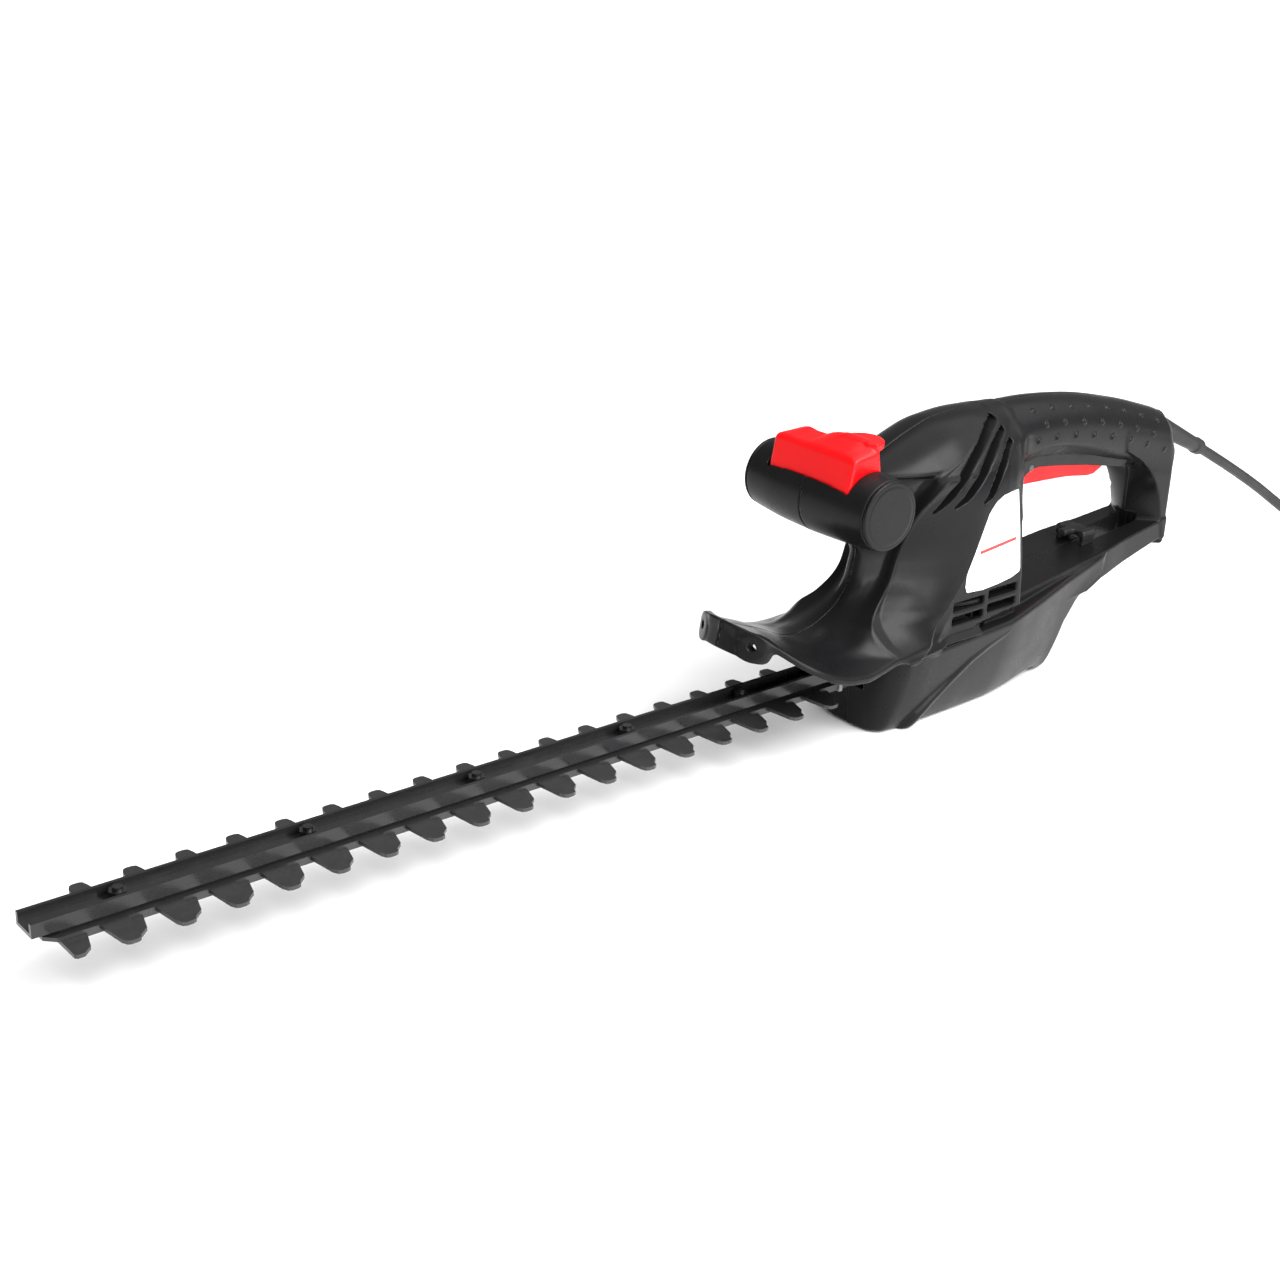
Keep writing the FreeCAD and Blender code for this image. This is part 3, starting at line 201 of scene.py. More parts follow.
def felt_look(name):
    material, nodes, links, shader = new_material(name)
    fibres = noise(nodes, links, 900, 8, 0.8, (1, 4, 1))
    tone = mix_colours(nodes, links, fibres, (0.10, 0.10, 0.10), (0.24, 0.23, 0.22))
    links.new(tone, shader.inputs["Base Color"])
    shader.inputs["Roughness"].default_value = 0.95
    shader.inputs["Sheen Weight"].default_value = 0.4
    bump(nodes, links, fibres, 0.0002, shader)
    return material


# The stripe's line goes through one point with a slope; the stripe reaches both ways from its middle.
STRIPE_X, STRIPE_Z, STRIPE_SLOPE = -0.196, 0.1085, -0.10
STRIPE_MIDDLE, STRIPE_REACH, STRIPE_HALF = -0.1985, 0.0155, 0.0011


def label_look(name):
    """White film with a red stripe across it."""
    material, nodes, links, shader = new_material(name)
    place = nodes.new("ShaderNodeTexCoord")
    split = nodes.new("ShaderNodeSeparateXYZ")
    links.new(place.outputs["Object"], split.inputs["Vector"])

    def calc(kind, a, b):
        node = nodes.new("ShaderNodeMath")
        node.operation = kind
        for slot_number, item in enumerate((a, b)):
            if isinstance(item, (int, float)):
                node.inputs[slot_number].default_value = item
            elif item is not None:
                links.new(item, node.inputs[slot_number])
        return node.outputs["Value"]

    rise = calc("MULTIPLY", calc("ADD", split.outputs["X"], -STRIPE_X), STRIPE_SLOPE)
    off_line = calc("ABSOLUTE", calc("SUBTRACT", split.outputs["Z"], calc("ADD", rise, STRIPE_Z)), None)
    near_line = calc("LESS_THAN", off_line, STRIPE_HALF)
    off_middle = calc("ABSOLUTE", calc("ADD", split.outputs["X"], -STRIPE_MIDDLE), None)
    inside = calc("LESS_THAN", off_middle, STRIPE_REACH)
    stripe = calc("MULTIPLY", near_line, inside)
    tone = mix_colours(nodes, links, stripe, (0.80, 0.80, 0.79), (0.62, 0.01, 0.012))
    links.new(tone, shader.inputs["Base Color"])
    links.new(span(nodes, links, noise(nodes, links, 120, 4), 0.28, 0.42), shader.inputs["Roughness"])
    bump(nodes, links, noise(nodes, links, 500, 2), 0.00001, shader)
    return material


LOOKS = {
    "black_housing": moulded("housing_black", (0.0045, 0.0045, 0.005), (0.0075, 0.0075, 0.008), 0.26, 0.35,
                             gloss=0.13),
    "red_plastic": moulded("control_red", (0.66, 0.0012, 0.003), (0.74, 0.002, 0.004), 0.30, 0.40,
                           grain=2200, depth=0.000015, gloss=0.22),
    "black_paint": metal("bar_black", (0.012, 0.012, 0.013), (0.026, 0.026, 0.027), 0.14, 0.28,
                         metallic=0.35, stretch=(4, 40, 40)),
    "black_blade": metal("blade_black", (0.030, 0.030, 0.031), (0.075, 0.075, 0.076), 0.26, 0.44,
                         metallic=0.7, stretch=(40, 4, 4)),
    "blade_steel": lamination("stack_steel", (0.16, 0.16, 0.17), (0.42, 0.42, 0.43)),
    "bright_steel": metal("zinc_steel", (0.42, 0.42, 0.43), (0.66, 0.66, 0.67), 0.22, 0.40),
    "cast_alloy": metal("die_cast", (0.42, 0.43, 0.44), (0.60, 0.61, 0.62), 0.45, 0.62,
                        stretch=(1, 1, 1), depth=0.00006),
    "bronze": metal("sintered_bronze", (0.38, 0.24, 0.10), (0.60, 0.42, 0.20), 0.35, 0.5),
    "copper_wire": metal("copper", (0.42, 0.14, 0.05), (0.70, 0.30, 0.13), 0.25, 0.4,
                         stretch=(10, 10, 300), depth=0.0002),
    "black_plastic": moulded("part_black", (0.007, 0.007, 0.007), (0.014, 0.014, 0.014), 0.42, 0.55,
                             grain=1800, depth=0.00003, gloss=0.2),
    "black_rubber": moulded("lead_black", (0.009, 0.009, 0.0095), (0.016, 0.016, 0.017), 0.38, 0.5,
                            grain=1500, gloss=0.25),
    "nickel_pins": metal("nickel", (0.60, 0.59, 0.56), (0.78, 0.77, 0.74), 0.12, 0.25),
    "label_white": label_look("label_film"),
    "lead_insulation": moulded("wire_skin", (0.20, 0.03, 0.02), (0.30, 0.05, 0.03), 0.4, 0.5),
    "felt": felt_look("felt_grey"),
}
DARK_STEEL = ("bar_nuts", "bar_bolts", "trigger_pin")
BLACKENED = metal("blackened_steel", (0.05, 0.05, 0.052), (0.16, 0.16, 0.165), 0.2, 0.38)


def dress(obj, look):
    obj.data.materials.clear()
    obj.data.materials.append(LOOKS[look])


def dress_cad_nodes():
    slots = {part["node"]: part["material_slot"] for part in frame["record"]["subparts"]}
    for name, obj in frame["nodes"].items():
        for place in obj.material_slots:
            place.material = BLACKENED if name in DARK_STEEL else LOOKS[slots[name]]


EDGE_ROUNDS = {"comb_blade": 0.0004, "cutter_blade": 0.0004, "guide_bar": 0.0006, "bar_nuts": 0.0004}


def break_edges():
    """Small rounds on the blades, the bar and its nuts, so that their edges catch the light."""
    for name, width in EDGE_ROUNDS.items():
        edge = frame["nodes"][name].modifiers.new("broken_edges", "BEVEL")
        edge.width = width
        edge.segments = 2
        edge.limit_method = "ANGLE"
        edge.angle_limit = math.radians(40)


dress_cad_nodes()
break_edges()
dress(cord, "black_rubber")

# ---------------------------------------------------------------- solid fields, in millimetres
# A field takes coordinate arrays and gives a distance: below zero inside the form, above zero outside.
# A factor below one on a field makes up for a slope that is steeper than one.
def smooth_min(a, b, k):
    h = np.maximum(k - np.abs(a - b), 0) / k
    return np.minimum(a, b) - h * h * (k * 0.25)


def smooth_max(a, b, k):
    return -smooth_min(-a, -b, k)


def ease(low, high, v):
    t = np.clip((v - low) / (high - low), 0, 1)
    return t * t * (3 - 2 * t)


def curve(points):
    """Smooth function through (x, value) points, flat beyond the ends."""
    points = sorted(points)
    xs = np.array([p[0] for p in points], float)
    vs = np.array([p[1] for p in points], float)
    slopes = np.diff(vs) / np.diff(xs)
    at = np.zeros_like(vs)
    for i in range(1, len(vs) - 1):
        if slopes[i - 1] * slopes[i] > 0:
            at[i] = 2 * slopes[i - 1] * slopes[i] / (slopes[i - 1] + slopes[i])
    at[0], at[-1] = slopes[0], slopes[-1]
    dense = np.linspace(xs[0], xs[-1], 400)
    i = np.clip(np.searchsorted(xs, dense) - 1, 0, len(slopes) - 1)
    h = xs[i + 1] - xs[i]
    t = (dense - xs[i]) / h
    table = ((2 * t**3 - 3 * t**2 + 1) * vs[i] + (t**3 - 2 * t**2 + t) * h * at[i]
             + (3 * t**2 - 2 * t**3) * vs[i + 1] + (t**3 - t**2) * h * at[i + 1])
    return lambda x: np.interp(x, dense, table).astype(np.float32)


def polygon(points, a, b):
    """Signed distance from a closed polygon in the plane of a and b."""
    nearest = None
    inside = False
    for (ax, ay), (bx, by) in zip(points, points[1:] + points[:1]):
        ex, ey = bx - ax, by - ay
        wx, wy = a - ax, b - ay
        t = np.clip((wx * ex + wy * ey) / (ex * ex + ey * ey), 0, 1)
        square = (wx - ex * t) ** 2 + (wy - ey * t) ** 2
        nearest = square if nearest is None else np.minimum(nearest, square)
        if ey != 0:
            crosses = ((ay > b) != (by > b)) & (a < ex * (b - ay) / ey + ax)
            inside = inside ^ crosses
    return np.where(inside, -1, 1) * np.sqrt(nearest)


def box_field(x, y, z, x_span, y_span, z_span, k=0.8):
    dx = np.abs(x - sum(x_span) / 2) - (x_span[1] - x_span[0]) / 2
    dy = np.abs(y - sum(y_span) / 2) - (y_span[1] - y_span[0]) / 2
    dz = np.abs(z - sum(z_span) / 2) - (z_span[1] - z_span[0]) / 2
    return smooth_max(smooth_max(dx, dy, k), dz, k)


def path_distance(points, a, b):
    """Distance from a chain of straight runs, and how far along it the nearest place is, 0 to 1."""
    best, along = None, None
    count = len(points) - 1
    for i, ((ax, ay), (bx, by)) in enumerate(zip(points, points[1:])):
        ex, ey = bx - ax, by - ay
        t = np.clip(((a - ax) * ex + (b - ay) * ey) / (ex * ex + ey * ey), 0, 1)
        d = np.sqrt((a - ax - ex * t) ** 2 + (b - ay - ey * t) ** 2)
        if best is None:
            best, along = d, (i + t) / count
        else:
            along = np.where(d < best, (i + t) / count, along)
            best = np.minimum(best, d)
    return best, along


# ---------------------------------------------------------------- housing shape, in millimetres
# BODY_LEAN, RIDGE_X, CREASE_X, CREASE_HALF, FACE_DIP and POST_EDGE are curves over the height z. BARREL_R is
# one over the distance from the middle, FACE_STEP one over twentieths of a share. The others run over x.
HULL_SIDE = [(-100, -1), (-214, -1), (-238, 1.0), (-265, 4.6), (-271, 4.6), (-275, 1.0), (-279, -0.5),
             (-284, -0.2), (-287, 3), (-288, 9), (-291, 34), (-298, 47), (-306, 55.5), (-320, 62),
             (-320, 75.5), (-316, 74.5), (-238, 61), (-216, 57.5), (-181, 56), (-121, 53), (-100, 52)]
HULL_TOP_HALF = curve([(-121, 29), (-123, 34), (-127, 38), (-134, 40.6), (-150, 41.8), (-216, 41),
                       (-245, 37.5), (-285, 31), (-318, 27)])
HULL_BOTTOM_HALF = curve([(-121, 15), (-125, 19.5), (-131, 21.8), (-150, 23), (-215, 21.5), (-266, 14),
                          (-280, 12), (-318, 10)])
HULL_FRONT = -121.5
HULL_LEDGE = curve([(-121, 53), (-181, 56), (-216, 57.5), (-238, 61), (-318, 75)])
BELLY_POWER = 0.62
DOME_HALF = curve([(-103, 12), (-108, 16), (-114, 20), (-122, 24.5), (-132, 29), (-142, 32.5),
                   (-155, 35.5), (-170, 37), (-200, 37.4), (-230, 36)])
BODY_TOP = curve([(-100, 150), (-116, 160), (-135, 169), (-153, 176.2), (-174, 182), (-197, 183.6),
                  (-220, 183), (-254, 181.5)])
DOME_FRONT, DOME_FOOT, DOME_FOOT_DROP = -103, 156.5, 40
BODY_REAR = -229.5
BODY_LEAN = curve([(60, 0), (90, 2.5), (115, 7), (141, 12.5), (150, 12.5)])
TAPER = 0.26
SHOULDER_Z = 134.0
CROWN_POWER = 2.25
RIDGE_X = curve([(64, -76), (66.8, -86), (68.7, -97), (71.7, -104), (76, -108.5), (81, -112),
                 (87, -113.6), (98, -115.2), (111.5, -117.4), (150, -118)])
CREASE_X = curve([(54, -126), (60, -120), (66, -115.5), (73, -114), (81, -117.8), (89, -123.3),
                  (97, -127.8), (106, -130.7), (114.5, -133.2), (123, -135), (131.7, -136.6),
                  (139, -138.6), (145.5, -141.8), (151, -146), (156, -152), (160, -160), (164.5, -170),
                  (171.6, -183.5), (177.6, -199), (184, -215)])
CREASE_HALF = curve([(54, 44), (60, 37), (66, 30), (73, 24), (80, 20.5), (90, 20), (106, 20),
                     (114.5, 21), (123, 23.2), (131.7, 26.2), (139, 29.5), (145.5, 33), (151, 35.3),
                     (156, 36.4), (164.5, 37.7), (190, 37.2)])
FACE_DIP = curve([(66, 0), (80, 0.5), (95, 1.5), (120, 2.5), (150, 2.5)])
FACE_STEP = curve([(0, 0), (4, 0.03), (7, 0.2), (10, 0.52), (13, 0.84), (16, 0.98), (20, 1.0)])
FACE_TOP, FACE_FOOT, FACE_REAR = 156, 56, -190
WING_REACH = 45.0
WING_HALF, WING_FLARE, WING_TUCK = 40.6, 4.6, 3.2
WING_FLOOR = curve([(-92, 55), (-115, 54), (-128, 51.5), (-144, 53.5), (-166, 56.5), (-192, 61.5),
                    (-222, 64.8), (-231, 65)])
WING_REAR_ROUND = curve([(-231, 10), (-229.5, 8), (-227, 4.2), (-224.5, 2), (-221, 0.7), (-215, 0)])
PANEL = [(-126, 40), (-128, 50), (-140, 60.8), (-154.3, 74.2), (-162.6, 84.3), (-170.3, 94.5),
         (-176.4, 108.8), (-181.2, 120.8), (-185.4, 131.5), (-190.5, 137.5), (-196.4, 140.4),
         (-212, 142.8), (-240, 146), (-240, 40)]
PANEL_HALF = 38.0
CORE_HALF = 33.0
LOWER_SIDE = [(-222, 52), (-222, 65.6), (-377, 82.5), (-387, 83.2), (-387, 71.2), (-319, 58),
              (-305, 52)]
LOWER_HALF = curve([(-222, 30), (-250, 28.5), (-285, 27), (-316, 26), (-346, 22.6), (-387, 20)])
GRIP_MIDDLE = curve([(-190, 163), (-254, 161), (-292, 157.4), (-342, 146.2), (-372, 137.5),
                     (-390, 132)])
GRIP_UP = curve([(-190, 8), (-212, 15.5), (-234, 20), (-254, 20.5), (-292, 20.3), (-342, 20.8),
                 (-372, 20.6), (-390, 20)])
GRIP_WIDE = curve([(-190, 14), (-212, 19), (-234, 20.8), (-254, 20.6), (-292, 20.3), (-342, 20.3),
                   (-390, 19.8)])
RIM_Z = curve([(-225, 143), (-237, 148), (-246.8, 152.4), (-257, 153.6), (-271, 152.9), (-290, 150.1),
               (-309, 146), (-329, 139.9), (-345.7, 133.1), (-356.3, 125.8), (-368.8, 113.3),
               (-377, 99)])
RIM_HALF, RIM_SLOPE = 19.4, 1.22
GRIP_POWER, GRIP_R, GRIP_REAR, GRIP_FRONT = 2.15, 19.5, -387.5, -195
GUARD_MIDDLE = curve([(-12, 92), (-18, 90), (-25, 87.2), (-35, 83), (-43, 80), (-50, 77), (-57, 73.6),
                      (-65.5, 70.2), (-75.7, 67.3), (-85, 66.6), (-97, 68), (-110, 70), (-134, 72)])
GUARD_DROOP = curve([(-17, 5), (-33, 9), (-42, 11), (-55, 10), (-75, 9), (-97, 12.5), (-134, 17),
                     (-152, 20)])
GUARD_REAR, GUARD_FRONT = -150.0, -17
GUARD_PLAN = curve([(-150, 40.4), (-134, 43), (-115, 44.8), (-97, 47.3), (-84, 49.3), (-72, 50),
                    (-60, 49.6), (-50, 47), (-42, 42), (-33, 33.5), (-27, 26), (-22.5, 18), (-19, 10),
                    (-17, 0)])
GUARD_THICK, CURTAIN_DROP, CURTAIN_HALF, CURTAIN_LEAN, CURTAIN_REAR = 4.4, 16.4, 27.5, 0.22, -45
LUG_Y, LUG_Z, LUG_R = 20.0, 79.0, 7.4
LUG_HOLE_R, LUG_HOLE_Z, LUG_HOLE_REAR = 2.1, 80, -32
BARREL_X, BARREL_Z, BARREL_HALF = -92.6, 150.0, 46.0
BARREL_R = curve([(0, 22.9), (24, 22.2), (40, 20.8), (47, 20.0)])
GRILLE = [((-191.5, -165), (65, 70)), ((-191.5, -165), (73.5, 79)), ((-220, -195.5), (67, 72)),
          ((-220, -195.5), (75.5, 81))]
VENTS = [
    [(-147, 136.8), (-152, 142), (-159, 149.2), (-167, 156.8), (-177, 164), (-188.7, 171),
     (-198.2, 176.2), (-208.4, 179)],
    [(-160.5, 138.8), (-166.8, 143), (-172.5, 148.5), (-178.8, 154), (-186, 160.8), (-193.8, 166.6),
     (-201.6, 171), (-210, 173.6)],
    [(-180.3, 139), (-185.5, 142.5), (-190, 149), (-194.8, 155.5), (-200.5, 161.2), (-207.5, 165.4),
     (-212.5, 167.2)],
]
VENT_HALF, VENT_DEPTH = 2.7, 6.0
SWOOSH_SUNK, SWOOSH_R, SWOOSH_TAPER = 1.6, 5.8, 4.6
DOT_R = 1.7
SWOOSH = [(-146, 0), (-151.5, 8.3), (-158.5, 16.3), (-170.2, 26.9), (-185.5, 37.8), (-200, 44.5),
          (-217, 50)]
DOT_ROWS = [
    [(-246, 48.8), (-264, 49.5), (-282, 49.2), (-299.3, 48.1), (-317.2, 47.5), (-334.3, 46),
     (-351.3, 42.5), (-368.4, 39.9)],
    [(-254.3, 22), (-271.8, 21.7), (-290.2, 20.3), (-308, 19.8), (-326.2, 18.9), (-343.5, 16.9),
     (-361.8, 13.3)],
    [(-247, -4.4), (-264.1, -3.2), (-282.4, -3.3), (-300.2, -4.7), (-318.6, -5.9), (-337.1, -6),
     (-355, -9.2), (-373.9, -12)],
]
SEAM = 0.12
SLEEVE_X, SLEEVE_Z, SLEEVE_FALL = -388.0, 143.5, math.radians(26)
SLEEVE_R, SLEEVE_TAPER, SLEEVE_BEAD, SLEEVE_LENGTH, SLEEVE_END = 6.5, 1.8, 0.7, 60, 59.9
COLLAR_X, COLLAR_R, COLLAR_HALF = -382, 8.6, 8


def hull_half(x, z):
    rise = np.clip(z / HULL_LEDGE(x), 0, 1) ** BELLY_POWER
    return HULL_BOTTOM_HALF(x) + (HULL_TOP_HALF(x) - HULL_BOTTOM_HALF(x)) * rise


def hull_field(x, y, z):
    plan = smooth_max((np.abs(y) - hull_half(x, z)) * 0.88, x - HULL_FRONT, 9)
    return smooth_max(smooth_max(polygon(HULL_SIDE, x, z), plan, 4), -z, 2.5)


def crowned(half, x, y, z):
    """Upright below the shoulder, closing over in a superellipse to the top line above it."""
    reach = np.maximum(BODY_TOP(x) - SHOULDER_Z, 8)
    up = np.maximum(z - SHOULDER_Z, 0) / reach
    radius = ((np.abs(y) / half) ** CROWN_POWER + up**CROWN_POWER) ** (1 / CROWN_POWER)
    return (radius - 1) * np.minimum(half, reach)


def rear_end(y, z):
    """Rear face of the body, drawn forwards at the sides towards the top."""
    return BODY_REAR + BODY_LEAN(z) * (np.abs(y) / PANEL_HALF) ** 3


def upper_taper(x, z):
    """The body draws in to the grip at its upper rear corner."""
    return 1 - TAPER * ease(146, 166, z) * ease(-198, -229, x)


def dome_field(x, y, z):
    ends = smooth_max(rear_end(y, z) - x, x - DOME_FRONT, 5)
    under = (DOME_FOOT - DOME_FOOT_DROP * ease(-158, -185, x) - z) * 0.85
    return smooth_max(smooth_max(crowned(DOME_HALF(x) * upper_taper(x, z), x, y, z), ends, 4), under, 4)


def face_field(x, y, z):
    """Concave face between the ridge below the handle and the front edges of the wings."""
    out = np.abs(y)
    ridge, crease = RIDGE_X(z), CREASE_X(z)
    share = FACE_STEP(out * 20 / CREASE_HALF(z))
    dip = np.sin(np.pi * np.clip(out / CREASE_HALF(z), 0, 1)) ** 2
    front = ridge + (crease - ridge) * share - FACE_DIP(z) * dip
    block = smooth_max((x - front) * 0.66, out - CREASE_HALF(z) - 0.6, 1.0)
    return smooth_max(smooth_max(block, z - FACE_TOP, 3), smooth_max(FACE_FOOT - z, FACE_REAR - x, 1), 1)


def wing_field(x, y, z):
    """Flat side plate from its sharp front edge to the rear of the body, flaring out to the guard below."""
    back = CREASE_X(z) - x
    taper = np.clip(back / WING_REACH, 0, 1)
    flare = WING_FLARE * ease(94, 57, z) * ease(-168, -116, x)
    start = CREASE_HALF(z)
    rear = rear_end(y, z)
    full = WING_HALF + flare - WING_TUCK * ease(160, 178, z)
    half = start + (full - start) * (1 - (1 - taper) ** 1.5) - WING_REAR_ROUND(x + BODY_REAR - rear)
    ends = smooth_max(-back * 0.75, rear - x, 1.5)
    skin = smooth_max(crowned(half * upper_taper(x, z), x, y, z), ends, 1.0)
    return smooth_max(skin, (WING_FLOOR(x) - z) * 0.97, 1.2)


def panel_room(x, y, z):
    """Shallow recess for the label and the grille."""
    return smooth_max(polygon(PANEL, x, z), PANEL_HALF - np.abs(y), 0.6)


def core_field(x, y, z):
    return box_field(x, y, z, (-227, -124), (-CORE_HALF, CORE_HALF), (48, 75), 3)


def guard_plan(x, y):
    """Distance from the guard's outline seen from above."""
    side = np.abs(y) - GUARD_PLAN(x)
    slope = GUARD_PLAN(x + 0.5) - GUARD_PLAN(x - 0.5)
    return np.maximum(side / np.sqrt(1 + slope**2), x - GUARD_FRONT)


def guard_field(x, y, z):
    out = np.abs(y)
    level = GUARD_MIDDLE(x) - GUARD_DROOP(x) * (out / 50) ** 2
    plan = smooth_max(guard_plan(x, y), GUARD_REAR - x, 5)
    sheet = smooth_max(np.abs(z - level + GUARD_THICK / 2) - GUARD_THICK / 2, plan, 1.8)
    sunk = np.clip(level - z, 0, CURTAIN_DROP)
    wall = np.abs(guard_plan(x - CURTAIN_LEAN * sunk, y) + 2) - 2
    drop = np.abs(z - level + CURTAIN_DROP / 2) - CURTAIN_DROP / 2
    curtain = smooth_max(smooth_max(drop, out - CURTAIN_HALF, 9), wall, 1.6)
    tab = np.sqrt((out - LUG_Y) ** 2 + (z - LUG_Z) ** 2) - LUG_R
    lug = smooth_max(tab, wall, 1.6)
    front = np.where(x > CURTAIN_REAR, smooth_min(curtain, lug, 2), 50)
    hole = np.sqrt((out - LUG_Y) ** 2 + (z - LUG_HOLE_Z) ** 2) - LUG_HOLE_R
    rolled = smooth_min(sheet, front, 3)
    return smooth_max(rolled, -np.maximum(hole, LUG_HOLE_REAR - x), 0.5)


def barrel_field(x, y, z):
    round_part = np.sqrt((x - BARREL_X) ** 2 + (z - BARREL_Z) ** 2) - BARREL_R(np.abs(y))
    return smooth_max(round_part, np.abs(y) - BARREL_HALF, 1.0)


def grip_field(x, y, z):
    up, wide = GRIP_UP(x), GRIP_WIDE(x)
    ring = np.abs(y / wide) ** GRIP_POWER + np.abs((z - GRIP_MIDDLE(x)) / up) ** GRIP_POWER
    oval = (ring ** (1 / GRIP_POWER) - 1) * GRIP_R
    under = (RIM_Z(x) - (RIM_HALF - np.abs(y)) * RIM_SLOPE - z) * 0.62
    return smooth_max(smooth_max(smooth_max(oval, under, 0.7), GRIP_REAR - x, 8), x - GRIP_FRONT, 2)


POST_MIDDLE, POST_REAR, POST_HALF, POST_FOOT = -367.2, -388.7, 20.2, 66
POST_EDGE = curve([(66, -385.5), (74, -384), (85, -380.6), (102, -375.3), (113, -369), (126, -356.5),
                   (133, -346), (137, -339)])


def post_field(x, y, z):
    """Rear upright of the handle: flat behind, a blunt edge down the middle in front."""
    out = np.abs(y)
    lean = 3.5 * ease(112, 150, z)
    rake = POST_MIDDLE - POST_EDGE(z)
    front = (x - POST_MIDDLE - lean + (rake + lean) * (out / 20) ** 1.35) * 0.8
    sides = out - POST_HALF + 2.4 * ease(112, 137, z)
    column = smooth_max(smooth_max(front, sides, 0.8), POST_REAR - x, 4)
    return smooth_max(smooth_max(column, POST_FOOT - z, 2), z - GRIP_MIDDLE(x) + 1, 5)


def lower_bar_field(x, y, z):
    return smooth_max(polygon(LOWER_SIDE, x, z), np.abs(y) - LOWER_HALF(x), 1.2)


NECK_SCREW = (-124, 118)
BOSS_HEAD_R, BOSS_HEAD_REACH, BOSS_TIP_R, BOSS_TIP_REACH = 6.6, 21, 3.8, 15


def neck_boss_field(x, y, z):
    """Boss around the front housing screw, which is longer than the neck is wide."""
    radial = np.sqrt((x - NECK_SCREW[0]) ** 2 + (z - NECK_SCREW[1]) ** 2)
    right = smooth_max(radial - BOSS_HEAD_R, smooth_max(-BOSS_HEAD_REACH - y, y, 1), 1.5)
    left = smooth_max(radial - BOSS_TIP_R, smooth_max(-y, y - BOSS_TIP_REACH, 1), 1.5)
    return np.minimum(right, left)


def swoosh_field(x, y, z):
    """Tapering blade-like rib on the lower flank."""
    distance, along = path_distance(SWOOSH, x, z)
    off = np.sqrt(distance**2 + (np.abs(y) - hull_half(x, z) + SWOOSH_SUNK) ** 2)
    rib = off - (SWOOSH_R - SWOOSH_TAPER * along)
    return smooth_max(rib, -z, 2.5)


def dots_field(x, y, z):
    """Three rows of small domes along both sides of the grip."""
    field = None
    for row in DOT_ROWS:
        for dot_x, turn in row:
            turn = math.radians(turn)
            dot_y = float(GRIP_WIDE(dot_x)) * math.cos(turn)
            dot_z = float(GRIP_MIDDLE(dot_x)) + float(GRIP_UP(dot_x)) * math.sin(turn)
            d = np.sqrt((x - dot_x) ** 2 + (np.abs(y) - dot_y) ** 2 + (z - dot_z) ** 2) - DOT_R
            field = d if field is None else np.minimum(field, d)
    return field


def collar_field(x, y, z):
    """Thickening of the handle around the root of the sleeve."""
    tube = np.sqrt(y**2 + (z - SLEEVE_Z) ** 2) - COLLAR_R
    return smooth_max(tube, np.abs(x - COLLAR_X) - COLLAR_HALF, 1.2)


def outer_field(x, y, z):
    out = np.abs(y)
    wings = smooth_max(wing_field(x, y, z), -panel_room(x, y, z), 0.6)
    d = smooth_min(dome_field(x, y, z), face_field(x, y, z), 5)
    d = smooth_min(d, barrel_field(x, y, z), 5)
    d = smooth_min(d, wings, 0.8)
    d = smooth_min(d, guard_field(x, y, z), 3 + 25 * ease(50, 27, out))
    d = smooth_min(d, grip_field(x, y, z), 9 + 8 * ease(138, 156, z) - 14 * ease(164, 176, z))
    d = smooth_min(d, post_field(x, y, z), 6)
    d = smooth_min(d, core_field(x, y, z), 1.0)
    d = smooth_min(d, lower_bar_field(x, y, z), 3)
    d = smooth_min(d, hull_field(x, y, z), 1.4)
    d = smooth_min(d, neck_boss_field(x, y, z), 5)
    d = smooth_min(d, swoosh_field(x, y, z), 1.2)
    d = smooth_min(d, dots_field(x, y, z), 0.7)
    return smooth_min(d, collar_field(x, y, z), 3)


MOTOR_X = -188.0
GRIP_ROOM_WIDE, GRIP_ROOM_UP, GRIP_ROOM_R = 16.8, 15.5, 15


def motor_room(x, y, z, r, low, high):
    """Upright round room on the motor's axis."""
    height = np.abs(z - (low + high) / 2) - (high - low) / 2
    return np.maximum(np.sqrt((x - MOTOR_X) ** 2 + y**2) - r, height)


